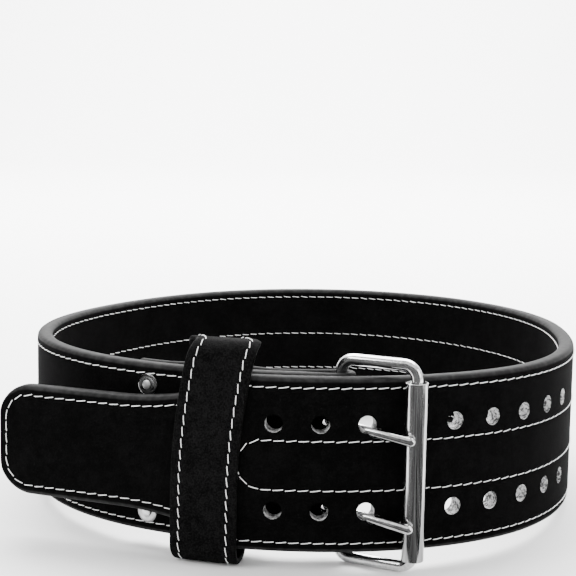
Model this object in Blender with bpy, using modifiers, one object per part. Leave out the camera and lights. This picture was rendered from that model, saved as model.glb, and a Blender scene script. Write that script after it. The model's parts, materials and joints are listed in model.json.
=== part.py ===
"""A buckled weightlifting belt: one leather strap closed in a ring by a roller buckle with two prongs.

Metres, +Z up. The belt is modelled level, with the strap's lower edge at height 0 and the buckle
towards -Y. It is then tipped back a little as one assembly, so that it stands on the buckle, on the
keeper loop and on the back of the strap, with its box centred over the origin.

Places along the strap are arc lengths on the ring's outer face. They start at the buckle's base bar,
round which the strap's end is folded, and grow towards -X, round the waist and back to the bar.
"""
import bpy
import bmesh
import numpy as np
from math import asin, atan2, ceil, cos, pi, radians, sin, sqrt
from mathutils import Vector

# Clearance between pieces that touch on the real belt
SEAT_GAP = 0.0003

# Strap
STRAP_WIDTH = 0.1016
STRAP_THICK = 0.010
STRAP_EDGE_RADIUS = 0.0032
SLIMMEST_EDGE = 0.4           # largest edge radius where the strap is thin, as a share of its thickness
EDGE_TURNS = (0, 45, 90)      # degrees
LONG_STEP = 0.015             # between two sections of the sweep round the waist
SHORT_STEP = 0.008            # and where the layers lie on each other
LAP_ZONE = 0.133              # that far to each side of the base bar

# Plan of the waist ring: radius of its outer face by heading
RING_RADIUS = 0.1850
RING_SHAPE = (
    # lobes, how far a lobe stands out as a share of the radius, heading of one lobe in degrees
    (2, 0.0398, 62.8),
    (3, 0.0240, -40.7),
    (4, 0.0061, 23.1),
)
BAR_HEADING = -85.2           # degrees, where the folded end holds the buckle's base bar

# Folded end: skived thin, turned back inside round the bar, riveted through the strap
FLAP_THICK = 0.005
FLAP_END_MARGIN = 0.0150      # from the far rivets to the flap's end
SKIVE_LENGTH = 0.027          # over which the strap thins towards the fold
FOLD_SECTIONS = 9

# Rivets: flat head inside, peened over a burr outside
RIVET_NEAR_PLACE = 0.0356
RIVET_COLUMN_GAP = 0.0812
RIVET_ROW_OFFSET = 0.0383     # upper and lower rows from the strap's middle
RIVET_SHANK_RADIUS = 0.0020
RIVET_HEAD_RADIUS = 0.0053
RIVET_HEAD_THICK = 0.0013
RIVET_PEEN_RADIUS = 0.0028
RIVET_PEEN_HEIGHT = 0.0010
BURR_RADIUS = 0.0066
BURR_THICK = 0.0010
TURNED_SIDES = 12
PEEN_DOME = (
    # share of the peen's radius, share of its height
    (0.0, 1.0),
    (0.6, 0.85),
    (1.0, 0.3),
    (1.0, 0.0),
)
HEAD_BEVEL = (0.85, 0.4)      # start of a head's bevel: share of its radius, share of its thickness
BURR_BEVEL = (0.75, 0.4)      # the same of a burr

# Tongue
HOLE_RADIUS = 0.0052
HOLE_PITCH = 0.0267
HOLE_ROW_OFFSET = 0.0252      # upper and lower rows from the middle of a pair
HOLE_DROP = 0.0011            # of a pair's middle below the strap's middle
HOLES_TO_TIP = 2              # pairs between the prongs and the tip
HOLES_TO_BODY = 6             # pairs on the other side of the prongs
HOLE_SIDES = 14
TAB_WIDTH = 0.0670
TAB_LENGTH = 0.0792           # from the end of the shoulders to the tip
TAB_CORNER_RADIUS = 0.0215
TIP_SECTIONS = 7
SHOULDER_LENGTH = 0.0660
SHOULDER_SECTIONS = 12
SHOULDER_REACH = 0.0380       # of the shoulders past the keeper's far edge
SPRING_RADIUS = 6.0           # bend of the free tongue, which springs off the ring past the keeper
LAP_RAMP_LENGTH = 0.183       # over which the strap moves out to lie on its folded end
LAP_RAMP_END = 0.096          # from there to the base bar

# Keeper loop
KEEPER_WIDTH = 0.0376
KEEPER_THICK = 0.0035
KEEPER_PLACE = 0.0754
KEEPER_INNER_HEIGHT = 0.124
KEEPER_BEND_RADIUS = 0.0086   # of its inside at the four corners
KEEPER_LEAN = 0.0076          # of its outer run's top towards the buckle
KEEPER_LEAN_FROM = 0.024      # height where the lean starts
KEEPER_COLUMNS = 6
KEEPER_BEND_STEPS = 4
POCKET_MARGIN = 0.001         # of the flap's pocket beside the keeper

# Buckle frame
WIRE_RADIUS = 0.0034
FRAME_HEIGHT = 0.1169         # between the wire's centres
FRAME_REACH = 0.0470          # from the base bar to the roller's bar, between centres
FRAME_BEND_RADIUS = 0.0082    # of the wire's centre
FRAME_BEND_STEPS = 5

# Roller
ROLLER_RADIUS = 0.0065
ROLLER_WALL = 0.0008
ROLLER_LENGTH = 0.103
ROLLER_SEAM = 0.0006
ROLLER_SIDES = 24

# Prongs
PRONG_RADIUS = 0.0028
PRONG_OVERHANG = 0.0042       # of the tip past its line of touch on the roller
PRONG_HOLE_PLACE = 0.0123     # of the hole that they are in, from the base bar towards the roller
PRONG_DROOP = 0.105            # fall towards the tip, for each length along the shank
PRONG_SAG = 0.0020            # of the prongs below the middles of their holes
PRONG_TIP = (
    # distance from the end as a share of the wire's radius, radius there as a share of the wire's
    (0.85, 1.0),
    (0.42, 0.9),
    (0.15, 0.7),
    (0.0, 0.4),
)
EYE_WRAP = 272                # degrees of the eye round the base bar
EYE_STEPS = 18
SLOT_HEIGHT = 0.0077
SLOT_REACH = 0.0110           # from the base bar along both layers
SLOT_STEPS = 6

# Modelling
SMOOTH_ANGLE = 40             # degrees, the sharpest edge that is shaded smooth
SAME_POINT = 1e-6             # corners closer than this are one
SAME_SECTION = 0.0005         # sections closer than this are one
STEEPEST_TIP = 10             # degrees, where the search for the belt's tip ends

# Values that follow from those above
MIDDLE = STRAP_WIDTH / 2
HOLE_MIDDLE = MIDDLE - HOLE_DROP
RIVET_PROUD = SEAT_GAP + BURR_THICK + SEAT_GAP + RIVET_PEEN_HEIGHT
LAP_GAP = RIVET_PROUD + SEAT_GAP
LAP_OFFSET = LAP_GAP + STRAP_THICK
FOLD_RADIUS = WIRE_RADIUS + SEAT_GAP + FLAP_THICK
EYE_RADIUS = WIRE_RADIUS + SEAT_GAP + PRONG_RADIUS
RIVET_FAR_PLACE = RIVET_NEAR_PLACE + RIVET_COLUMN_GAP
FLAP_LENGTH = RIVET_FAR_PLACE + FLAP_END_MARGIN
KEEPER_START = KEEPER_PLACE - KEEPER_WIDTH / 2
KEEPER_END = KEEPER_PLACE + KEEPER_WIDTH / 2
SHOULDER_END = KEEPER_END + SHOULDER_REACH
SHOULDER_START = SHOULDER_END - SHOULDER_LENGTH
FREE_LENGTH = SHOULDER_REACH + TAB_LENGTH

FINISHES = {
    # base colour, roughness, metallic
    "suede": ((0.012, 0.012, 0.013, 1.0), 0.90, 0.0),
    "keeper_suede": ((0.020, 0.020, 0.021, 1.0), 0.90, 0.0),
    "chrome": ((0.75, 0.75, 0.76, 1.0), 0.10, 1.0),
    "roller_chrome": ((0.70, 0.70, 0.71, 1.0), 0.16, 1.0),
    "rivet_steel": ((0.62, 0.61, 0.58, 1.0), 0.30, 1.0),
    "burr_steel": ((0.30, 0.30, 0.31, 1.0), 0.25, 1.0),
}


class RingFace:
    """The ring's outer face as points by place."""

    SAMPLES = 1440
    REACH = 0.002             # to each side, for the direction at a place

    def __init__(self):
        heading = radians(BAR_HEADING) - np.linspace(0, 2 * pi, self.SAMPLES + 1)
        radius = np.ones_like(heading)
        for lobes, share, lobe_heading in RING_SHAPE:
            radius = radius + share * np.cos(lobes * (heading - radians(lobe_heading)))
        self.x = RING_RADIUS * radius * np.cos(heading)
        self.y = RING_RADIUS * radius * np.sin(heading)
        steps = np.hypot(np.diff(self.x), np.diff(self.y))
        self.places = np.concatenate(([0.0], np.cumsum(steps)))
        self.length = float(self.places[-1])

    def point(self, place):
        place = place % self.length
        return Vector((np.interp(place, self.places, self.x), np.interp(place, self.places, self.y), 0))

    def ahead(self, place):
        return (self.point(place + self.REACH) - self.point(place - self.REACH)).normalized()

    def outward(self, place):
        ahead = self.ahead(place)
        return Vector((-ahead.y, ahead.x, 0))

    def at(self, place, out=0.0, height=0.0):
        return self.point(place) + self.outward(place) * out + Vector((0, 0, height))


FACE = RingFace()


def eased(share):
    share = min(max(share, 0.0), 1.0)
    return share * share * (3 - 2 * share)


def spaced(start, end, step):
    """Places from start to end, both included, no further apart than the step."""
    count = max(1, ceil(abs(end - start) / step - 1e-6))
    return [start + (end - start) * i / count for i in range(count + 1)]


# Objects, materials and collections

def new_collection(name):
    collection = bpy.data.collections.new(name)
    bpy.context.scene.collection.children.link(collection)
    return collection


def finish(name):
    material = bpy.data.materials.get(name)
    if material:
        return material
    material = bpy.data.materials.new(name)
    material.use_nodes = True
    shader = material.node_tree.nodes["Principled BSDF"]
    colour, roughness, metallic = FINISHES[name]
    shader.inputs["Base Color"].default_value = colour
    shader.inputs["Roughness"].default_value = roughness
    shader.inputs["Metallic"].default_value = metallic
    return material


def add_object(name, data, parent, collection, material=None):
    obj = bpy.data.objects.new(name, data)
    obj.parent = parent
    collection.objects.link(obj)
    if material:
        data.materials.append(finish(material))
    return obj


def as_cutter(obj):
    obj.hide_render = True
    obj.display_type = "WIRE"
    return obj


def subtract(obj, cutter):
    modifier = obj.modifiers.new("cut_" + cutter.name, "BOOLEAN")
    modifier.operation = "DIFFERENCE"
    modifier.object = cutter


def round_mesh(data):
    data.shade_smooth()
    data.set_sharp_from_angle(angle=radians(SMOOTH_ANGLE))


# Frame of the buckle: the base bar, the direction towards the roller and the direction outward

class BuckleFrame:
    """Plan of the buckle: points by distance along the lap towards the roller, and outward."""

    def __init__(self):
        self.bar = FACE.at(0, -FOLD_RADIUS)
        self.right = -FACE.ahead(0)
        self.out = FACE.outward(0)
        self.roller = self.find_roller()
        towards_roller = self.roller - self.bar
        self.roller_right = towards_roller.dot(self.right)
        self.roller_out = towards_roller.dot(self.out)
        tilt = atan2(self.roller_out, self.roller_right)
        touch_radius = ROLLER_RADIUS + SEAT_GAP + PRONG_RADIUS
        # The shank is the line that touches the eye's circle and lies on the roller.
        self.shank_angle = tilt + asin((touch_radius - EYE_RADIUS) / FRAME_REACH)
        self.shank_length = sqrt(FRAME_REACH ** 2 - (touch_radius - EYE_RADIUS) ** 2) + PRONG_OVERHANG

    def find_roller(self):
        """The roller lies on the tongue, its axis as far from the bar as the frame reaches."""
        out = LAP_OFFSET + SEAT_GAP + ROLLER_RADIUS
        near, far = 0.0, FRAME_REACH
        while far - near > 1e-7:
            back = (near + far) / 2
            if (FACE.at(-back, out) - self.bar).length < FRAME_REACH:
                near = back
            else:
                far = back
        return FACE.at(-far, out)

    def at(self, right, out, height):
        return self.bar + self.right * right + self.out * out + Vector((0, 0, height))


BUCKLE = BuckleFrame()
FRAME_LOW = MIDDLE - FRAME_HEIGHT / 2


# Strap

def lap(place):
    """How far the strap's outer face stands outside the ring's."""
    start = FACE.length - LAP_RAMP_END - LAP_RAMP_LENGTH
    return LAP_OFFSET * eased((place - start) / LAP_RAMP_LENGTH)


def strap_thickness(place):
    return FLAP_THICK + (STRAP_THICK - FLAP_THICK) * eased(place / SKIVE_LENGTH)


# Where the flap changes course: end of the near heads, pocket for the keeper, start of the far heads
NEAR_END = RIVET_NEAR_PLACE + RIVET_HEAD_RADIUS + SEAT_GAP
POCKET_START = KEEPER_START - POCKET_MARGIN
POCKET_END = KEEPER_END + POCKET_MARGIN
FAR_START = RIVET_FAR_PLACE - RIVET_HEAD_RADIUS - SEAT_GAP


def flap_depth(place):
    """Depth of the flap's hidden face under the ring's outer face: bar, rivets, pocket, rivets."""
    seated = STRAP_THICK + SEAT_GAP
    at_bar = FOLD_RADIUS + WIRE_RADIUS + SEAT_GAP
    pocket = STRAP_THICK + SEAT_GAP + KEEPER_THICK + SEAT_GAP
    if place < NEAR_END:
        off_bar = eased(place / (RIVET_NEAR_PLACE - RIVET_HEAD_RADIUS - SEAT_GAP))
        return at_bar + (seated - at_bar) * off_bar
    if place < POCKET_END:
        return seated + (pocket - seated) * eased((place - NEAR_END) / (POCKET_START - NEAR_END))
    return pocket + (seated - pocket) * eased((place - POCKET_END) / (FAR_START - POCKET_END))


def flap_places():
    """From the flap's end to the bar, with a section at each change of course."""
    stops = (FLAP_LENGTH, FAR_START, POCKET_END, POCKET_START, NEAR_END, 0)
    places = [FLAP_LENGTH]
    for start, end in zip(stops, stops[1:]):
        places += spaced(start, end, SHORT_STEP / 2)[1:]
    return places[:-1]


def tongue_half_width(place):
    """Half the strap's width at a place past the base bar, with the concave shoulders."""
    share = min(max((place - SHOULDER_START) / SHOULDER_LENGTH, 0), 1)
    narrowed = sqrt(1 - (1 - share) ** 2)
    return STRAP_WIDTH / 2 - (STRAP_WIDTH - TAB_WIDTH) / 2 * narrowed


def shoulder_places():
    """Places along the shoulders, closest where they narrow fastest."""
    turns = [pi / 2 * i / SHOULDER_SECTIONS for i in range(1, SHOULDER_SECTIONS + 1)]
    return [SHOULDER_START + SHOULDER_LENGTH * (1 - cos(turn)) for turn in turns]


def flap_sections():
    """From the flap's end to the bar: points on its bare face and on its hidden face."""
    for place in flap_places():
        depth = flap_depth(place)
        yield FACE.at(place, -depth - FLAP_THICK), FACE.at(place, -depth), MIDDLE


def fold_sections():
    for i in range(FOLD_SECTIONS):
        turn = -pi / 2 + pi * i / (FOLD_SECTIONS - 1)
        spoke = BUCKLE.right * cos(turn) + BUCKLE.out * sin(turn)
        inner = FOLD_RADIUS - FLAP_THICK
        yield BUCKLE.bar + spoke * FOLD_RADIUS, BUCKLE.bar + spoke * inner, MIDDLE


def ring_sections():
    """Once round the waist, out onto the folded end and on to the keeper's far edge."""
    round_again = FACE.length
    places = spaced(0, LAP_ZONE, SHORT_STEP)[1:]
    places += spaced(LAP_ZONE, round_again - LAP_ZONE, LONG_STEP)[1:]
    places += spaced(round_again - LAP_ZONE, round_again + SHOULDER_START, SHORT_STEP)[1:]
    places += [round_again + place for place in shoulder_places() if place < KEEPER_END - SAME_SECTION]
    places.append(round_again + KEEPER_END)
    for place in places:
        out = lap(place)
        thick = strap_thickness(place)
        yield FACE.at(place, out), FACE.at(place, out - thick), tongue_half_width(place - round_again)


def free_tongue_at(distance, out):
    """A point on the tongue that far past the keeper, on an arc that leaves the ring smoothly."""
    start = FACE.at(KEEPER_END, LAP_OFFSET)
    ahead = FACE.ahead(KEEPER_END)
    outward = FACE.outward(KEEPER_END)
    turn = distance / SPRING_RADIUS
    centre = start - outward * SPRING_RADIUS
    return centre + (outward * cos(turn) + ahead * sin(turn)) * (SPRING_RADIUS + out)


def free_sections():
    corner_start = FREE_LENGTH - TAB_CORNER_RADIUS
    half = TAB_WIDTH / 2
    ends = [(place - KEEPER_END, tongue_half_width(place)) for place in shoulder_places()
            if place > KEEPER_END + SAME_SECTION]
    ends += [(distance, half) for distance in spaced(SHOULDER_REACH, corner_start, LONG_STEP)[1:]]
    for i in range(1, TIP_SECTIONS + 1):
        turn = pi / 2 * i / TIP_SECTIONS
        ends.append((corner_start + TAB_CORNER_RADIUS * sin(turn), half - TAB_CORNER_RADIUS * (1 - cos(turn))))
    for distance, half_width in ends:
        yield free_tongue_at(distance, 0), free_tongue_at(distance, -STRAP_THICK), half_width


def rounded_section(face, back, half_width):
    """Twelve points round one section, from its two faces' points and its half width."""
    across = back - face
    thick = across.length
    across = across / thick
    radius = min(STRAP_EDGE_RADIUS, SLIMMEST_EDGE * thick)
    corners = ((thick - radius, 1, 0), (radius, 1, 90), (radius, -1, 180), (thick - radius, -1, 270))
    points = []
    for depth, side, start in corners:
        for step in EDGE_TURNS:
            turn = radians(start + step)
            along = depth + radius * cos(turn)
            height = MIDDLE + side * (half_width - radius) + radius * sin(turn)
            points.append(face + across * along + Vector((0, 0, height)))
    return points


def loft(name, sections, closed=False):
    """A skin through sections that have the same number of points."""
    bm = bmesh.new()
    rings = [[bm.verts.new(point) for point in section] for section in sections]
    pairs = list(zip(rings, rings[1:]))
    if closed:
        pairs.append((rings[-1], rings[0]))
    else:
        bm.faces.new(rings[0])
        bm.faces.new(reversed(rings[-1]))
    for ring, following in pairs:
        for i in range(len(ring)):
            j = (i + 1) % len(ring)
            bm.faces.new((ring[i], following[i], following[j], ring[j]))
    bmesh.ops.recalc_face_normals(bm, faces=bm.faces)
    data = bpy.data.meshes.new(name)
    bm.to_mesh(data)
    bm.free()
    round_mesh(data)
    return data


def cylinder_between(bm, middle, axis, radius, length, sides):
    turned = axis.to_track_quat("Z", "Y").to_matrix().to_4x4()
    turned.translation = middle
    bmesh.ops.create_cone(bm, cap_ends=True, segments=sides, radius1=radius, radius2=radius,
                          depth=length, matrix=turned)


def hole_places():
    """Places of the hole pairs, counted on the tongue's outer face from the pair with the prongs."""
    first = FACE.length - PRONG_HOLE_PLACE
    places = [first]
    for count, direction in ((HOLES_TO_TIP, 1), (HOLES_TO_BODY, -1)):
        place = first
        for _ in range(count):
            place += direction * HOLE_PITCH / (1 + lap(place) / RING_RADIUS)
            places.append(place)
    return places


def hole_cutter(pose, cutters):
    """Punched holes of the tongue and the rivets' holes, none of which meet."""
    bm = bmesh.new()
    for place in hole_places():
        for side in (-1, 1):
            middle = FACE.at(place, lap(place) - STRAP_THICK / 2, HOLE_MIDDLE + side * HOLE_ROW_OFFSET)
            cylinder_between(bm, middle, FACE.outward(place), HOLE_RADIUS, STRAP_THICK + LAP_GAP, HOLE_SIDES)
    for place in (RIVET_NEAR_PLACE, RIVET_FAR_PLACE):
        depth = flap_depth(place) + FLAP_THICK
        for row in (-1, 0, 1):
            middle = FACE.at(place, -depth / 2, MIDDLE + row * RIVET_ROW_OFFSET)
            radius = RIVET_SHANK_RADIUS + SEAT_GAP
            cylinder_between(bm, middle, FACE.outward(place), radius, depth + LAP_GAP, TURNED_SIDES)
    data = bpy.data.meshes.new("punched_holes")
    bm.to_mesh(data)
    bm.free()
    return as_cutter(add_object("punched_holes", data, pose, cutters))


def slot_cutter(pose, cutters):
    """Two slots through the fold, round-ended, where the prongs' eyes turn on the bar."""
    bm = bmesh.new()
    radius = SLOT_HEIGHT / 2
    top = FOLD_RADIUS + LAP_GAP / 2
    bottom = -FOLD_RADIUS - LAP_GAP
    for height in prong_heights().values():
        outline = [(FOLD_RADIUS + LAP_GAP, -radius), (FOLD_RADIUS + LAP_GAP, radius)]
        for i in range(SLOT_STEPS + 1):
            turn = pi / 2 + pi * i / SLOT_STEPS
            outline.append((radius - SLOT_REACH + radius * cos(turn), radius * sin(turn)))
        lower = [bm.verts.new(BUCKLE.at(right, bottom, height + up)) for right, up in outline]
        face = bm.faces.new(lower)
        grown = bmesh.ops.extrude_face_region(bm, geom=[face])
        raised = [v for v in grown["geom"] if isinstance(v, bmesh.types.BMVert)]
        bmesh.ops.translate(bm, verts=raised, vec=BUCKLE.out * (top - bottom))
    bmesh.ops.recalc_face_normals(bm, faces=bm.faces)
    data = bpy.data.meshes.new("prong_slots")
    bm.to_mesh(data)
    bm.free()
    return as_cutter(add_object("prong_slots", data, pose, cutters))


def make_strap(pose, parts, cutters):
    sections = [rounded_section(*section) for section in flap_sections()]
    sections += [rounded_section(*section) for section in fold_sections()]
    sections += [rounded_section(*section) for section in ring_sections()]
    sections += [rounded_section(*section) for section in free_sections()]
    strap = add_object("belt_strap", loft("belt_strap", sections), pose, parts, "suede")
    subtract(strap, hole_cutter(pose, cutters))
    subtract(strap, slot_cutter(pose, cutters))
    for name, height in prong_heights().items():
        subtract(strap, groove_cutter(name, height, pose, cutters))
    print("belt_strap:", len(sections), "sections,", 2 * len(hole_places()), "punched holes")
    return strap


# Keeper loop

def keeper_outline():
    """Points round the loop's section as inside and outside pairs of distance outward and height."""
    low_out = -STRAP_THICK - SEAT_GAP
    high_out = LAP_OFFSET + SEAT_GAP
    radius = KEEPER_BEND_RADIUS
    middle_out = (low_out + high_out) / 2
    half_out = (high_out - low_out) / 2 - radius
    half_height = KEEPER_INNER_HEIGHT / 2 - radius
    turns = []
    for quarter, (side_out, side_height) in enumerate(((1, 1), (-1, 1), (-1, -1), (1, -1))):
        for i in range(KEEPER_BEND_STEPS + 1):
            turn = pi / 2 * (quarter + i / KEEPER_BEND_STEPS)
            turns.append((middle_out + side_out * half_out, side_height * half_height, turn))
    outline = []
    for out, height, turn in turns:
        inside = (out + radius * cos(turn), height + radius * sin(turn))
        wide = radius + KEEPER_THICK
        outside = (out + wide * cos(turn), height + wide * sin(turn))
        outline.append((inside, outside))
    return outline


def keeper_points(column):
    """The loop's outline at one column of its width."""
    low_out = -STRAP_THICK
    for inside, outside in keeper_outline():
        for out, height in (inside, outside):
            height += MIDDLE
            share = max(0.0, (height - KEEPER_LEAN_FROM) / (STRAP_WIDTH - KEEPER_LEAN_FROM))
            lean = KEEPER_LEAN * share ** 2 * eased((out - low_out) / LAP_OFFSET)
            place = KEEPER_START + KEEPER_WIDTH * column / KEEPER_COLUMNS - lean
            yield FACE.at(place, out, height)


def make_keeper(pose, parts):
    """Sections round the loop, each a row of points across the inside and back on the outside."""
    columns = [list(keeper_points(column)) for column in range(KEEPER_COLUMNS + 1)]
    sections = []
    for i in range(0, len(columns[0]), 2):
        inside = [column[i] for column in columns]
        outside = [column[i + 1] for column in columns]
        sections.append(inside + outside[::-1])
    data = loft("keeper_loop", sections, closed=True)
    return add_object("keeper_loop", data, pose, parts, "keeper_suede")


# Buckle

def wire_curve(name, points, radius, cyclic=False, radii=None):
    data = bpy.data.curves.new(name, "CURVE")
    data.dimensions = "3D"
    data.bevel_depth = radius
    data.bevel_resolution = 2
    data.use_fill_caps = not cyclic
    spline = data.splines.new("POLY")
    spline.points.add(len(points) - 1)
    for i, point in enumerate(points):
        spline.points[i].co = (*point, 1)
        spline.points[i].radius = radii[i] if radii else 1.0
    spline.use_cyclic_u = cyclic
    return data


def make_frame(pose, parts):
    """One wire bent to a rectangle, its long sides upright: base bar and roller's bar."""
    towards = (BUCKLE.roller - BUCKLE.bar).normalized()
    radius = FRAME_BEND_RADIUS
    corners = (
        (FRAME_REACH - radius, FRAME_HEIGHT - radius, 0),
        (radius, FRAME_HEIGHT - radius, 90),
        (radius, radius, 180),
        (FRAME_REACH - radius, radius, 270),
    )
    points = []
    for along, height, start in corners:
        for i in range(FRAME_BEND_STEPS + 1):
            turn = radians(start + 90 * i / FRAME_BEND_STEPS)
            plan = BUCKLE.bar + towards * (along + radius * cos(turn))
            points.append(plan + Vector((0, 0, FRAME_LOW + height + radius * sin(turn))))
    data = wire_curve("buckle_frame", points, WIRE_RADIUS, cyclic=True)
    return add_object("buckle_frame", data, pose, parts, "chrome")


def roller_foot():
    """Height of the roller's lower end, where its bore meets the bend of the wire."""
    bend_inside = FRAME_BEND_RADIUS - WIRE_RADIUS - SEAT_GAP
    bore_side = FRAME_BEND_RADIUS - (ROLLER_RADIUS - ROLLER_WALL)
    return FRAME_LOW + FRAME_BEND_RADIUS - sqrt(max(0, bend_inside ** 2 - bore_side ** 2))


def make_roller(pose, parts):
    """Sheet rolled to a tube, with its open seam against the strap."""
    data = bpy.data.curves.new("buckle_roller", "CURVE")
    data.dimensions = "2D"
    data.fill_mode = "BOTH"
    data.extrude = ROLLER_LENGTH / 2
    inner = ROLLER_RADIUS - ROLLER_WALL
    seam = ROLLER_SEAM / 2 / ROLLER_RADIUS
    turns = [seam + (2 * pi - 2 * seam) * i / ROLLER_SIDES for i in range(ROLLER_SIDES + 1)]
    points = [(ROLLER_RADIUS * cos(turn), ROLLER_RADIUS * sin(turn)) for turn in turns]
    points += [(inner * cos(turn), inner * sin(turn)) for turn in reversed(turns)]
    spline = data.splines.new("POLY")
    spline.points.add(len(points) - 1)
    for i, (x, y) in enumerate(points):
        spline.points[i].co = (x, y, 0, 1)
    spline.use_cyclic_u = True
    roller = add_object("buckle_roller", data, pose, parts, "roller_chrome")
    inward = -BUCKLE.out
    roller.location = BUCKLE.roller + Vector((0, 0, roller_foot() + ROLLER_LENGTH / 2))
    roller.rotation_euler = (0, 0, atan2(inward.y, inward.x))
    return roller


def prong_heights():
    middle = HOLE_MIDDLE - PRONG_SAG
    return {"prong_upper": middle + HOLE_ROW_OFFSET, "prong_lower": middle - HOLE_ROW_OFFSET}


def shank_point(distance, height):
    """A point on the shank's middle, that far from where it leaves the eye."""
    angle = BUCKLE.shank_angle
    right = -EYE_RADIUS * sin(angle) + distance * cos(angle)
    out = EYE_RADIUS * cos(angle) + distance * sin(angle)
    return BUCKLE.at(right, out, height - PRONG_DROOP * distance)


def make_prong(name, height, pose, parts):
    """One wire: an eye round the base bar, then a straight shank with a rounded tip."""
    eye_start = BUCKLE.shank_angle + pi / 2 + radians(EYE_WRAP)
    points = []
    for i in range(EYE_STEPS):
        turn = eye_start - radians(EYE_WRAP) * i / EYE_STEPS
        points.append(BUCKLE.at(EYE_RADIUS * cos(turn), EYE_RADIUS * sin(turn), height))
    points.append(shank_point(0, height))
    radii = [1.0] * len(points)
    for back, radius in PRONG_TIP:
        points.append(shank_point(BUCKLE.shank_length - back * PRONG_RADIUS, height))
        radii.append(radius)
    data = wire_curve(name, points, PRONG_RADIUS, radii=radii)
    return add_object(name, data, pose, parts, "chrome")


def groove_cutter(prong, height, pose, cutters):
    """The groove that a prong has pressed into the edge of its hole."""
    name = "groove_" + prong
    radius = PRONG_RADIUS + SEAT_GAP
    points = [shank_point(distance, height) for distance in (EYE_RADIUS, BUCKLE.shank_length)]
    curve = bpy.data.objects.new(name + "_wire", wire_curve(name, points, radius))
    cutters.objects.link(curve)
    evaluated = curve.evaluated_get(bpy.context.evaluated_depsgraph_get())
    data = bpy.data.meshes.new_from_object(evaluated)
    bm = bmesh.new()
    bm.from_mesh(data)
    bmesh.ops.remove_doubles(bm, verts=bm.verts, dist=SAME_POINT)
    bm.to_mesh(data)
    bm.free()
    bpy.data.objects.remove(curve)
    return as_cutter(add_object(name, data, pose, cutters))


# Rivets and burrs

def turned(name, profile, closed, pose, parts, material):
    """A profile of radius and height pairs, outer side downwards, turned round its own Z axis."""
    edges = [(i, i + 1) for i in range(len(profile) - 1)]
    if closed:
        edges.append((len(profile) - 1, 0))
    data = bpy.data.meshes.new(name)
    data.from_pydata([(radius, 0, height) for radius, height in profile], edges, [])
    obj = add_object(name, data, pose, parts, material)
    screw = obj.modifiers.new("turn", "SCREW")
    screw.steps = TURNED_SIDES
    screw.render_steps = TURNED_SIDES
    screw.use_merge_vertices = True
    screw.merge_threshold = SAME_POINT
    screw.use_smooth_shade = True
    return obj


def seat(obj, place, out, height):
    """Stands a turned piece on the ring's face, its Z axis outward."""
    obj.location = FACE.at(place, out, height)
    obj.rotation_mode = "QUATERNION"
    obj.rotation_quaternion = FACE.outward(place).to_track_quat("Z", "Y")


def make_rivet(label, place, height, pose, parts):
    stack = flap_depth(place) + FLAP_THICK
    peen_foot = stack + SEAT_GAP + BURR_THICK + SEAT_GAP
    head_face = -SEAT_GAP - RIVET_HEAD_THICK
    profile = [(wide * RIVET_PEEN_RADIUS, peen_foot + high * RIVET_PEEN_HEIGHT) for wide, high in PEEN_DOME]
    flat, edge = HEAD_BEVEL
    profile += [
        (RIVET_SHANK_RADIUS, peen_foot),
        (RIVET_SHANK_RADIUS, -SEAT_GAP),
        (RIVET_HEAD_RADIUS, -SEAT_GAP),
        (RIVET_HEAD_RADIUS, -SEAT_GAP - edge * RIVET_HEAD_THICK),
        (flat * RIVET_HEAD_RADIUS, head_face),
        (0, head_face),
    ]
    rivet = turned("rivet_" + label, profile, False, pose, parts, "rivet_steel")
    seat(rivet, place, -stack, height)
    bore = RIVET_SHANK_RADIUS + SEAT_GAP
    flat, edge = BURR_BEVEL
    ring = (
        (bore, BURR_THICK),
        (flat * BURR_RADIUS, BURR_THICK),
        (BURR_RADIUS, edge * BURR_THICK),
        (BURR_RADIUS, 0),
        (bore, 0),
    )
    burr = turned("burr_" + label, ring, True, pose, parts, "burr_steel")
    seat(burr, place, SEAT_GAP, height)
    return [rivet, burr]


def make_rivets(pose, parts):
    made = []
    for column, place in (("near", RIVET_NEAR_PLACE), ("far", RIVET_FAR_PLACE)):
        for row, level in (("upper", 1), ("middle", 0), ("lower", -1)):
            height = MIDDLE + level * RIVET_ROW_OFFSET
            made += make_rivet(column + "_" + row, place, height, pose, parts)
    return made


# How the belt stands

def world_points(objects):
    """All corners of the evaluated objects, one row each."""
    depsgraph = bpy.context.evaluated_depsgraph_get()
    rows = []
    for obj in objects:
        evaluated = obj.evaluated_get(depsgraph)
        data = evaluated.to_mesh()
        rows += [evaluated.matrix_world @ vertex.co for vertex in data.vertices]
        evaluated.to_mesh_clear()
    return np.array([tuple(row) for row in rows])


def lowest_when_tipped(points, tip):
    return float(np.min(points[:, 2] * cos(tip) - points[:, 1] * sin(tip)))


def stand(pose, strap, keeper, frame):
    """Tips the belt back until strap and buckle touch the ground, and drops the keeper to it."""
    strap_points = world_points([strap])
    frame_points = world_points([frame])
    level, steep = 0.0, radians(STEEPEST_TIP)
    while steep - level > 1e-8:
        tip = (level + steep) / 2
        if lowest_when_tipped(strap_points, tip) > lowest_when_tipped(frame_points, tip):
            level = tip
        else:
            steep = tip
    ground = lowest_when_tipped(frame_points, steep)
    keeper.location.z = (ground - lowest_when_tipped(world_points([keeper]), steep)) / cos(steep)
    pose.rotation_euler = (-steep, 0, 0)
    bpy.context.view_layer.update()
    print("tipped back by", round(steep * 180 / pi, 3), "degrees; keeper moved by",
          round(keeper.location.z * 1000, 2), "mm")


def centre_on_origin(pose, objects):
    points = world_points(objects)
    low = points.min(axis=0)
    high = points.max(axis=0)
    pose.location = (-(low[0] + high[0]) / 2, -(low[1] + high[1]) / 2, -low[2])
    bpy.context.view_layer.update()
    print("size in mm:", [round(float(side) * 1000, 1) for side in high - low])


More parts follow.
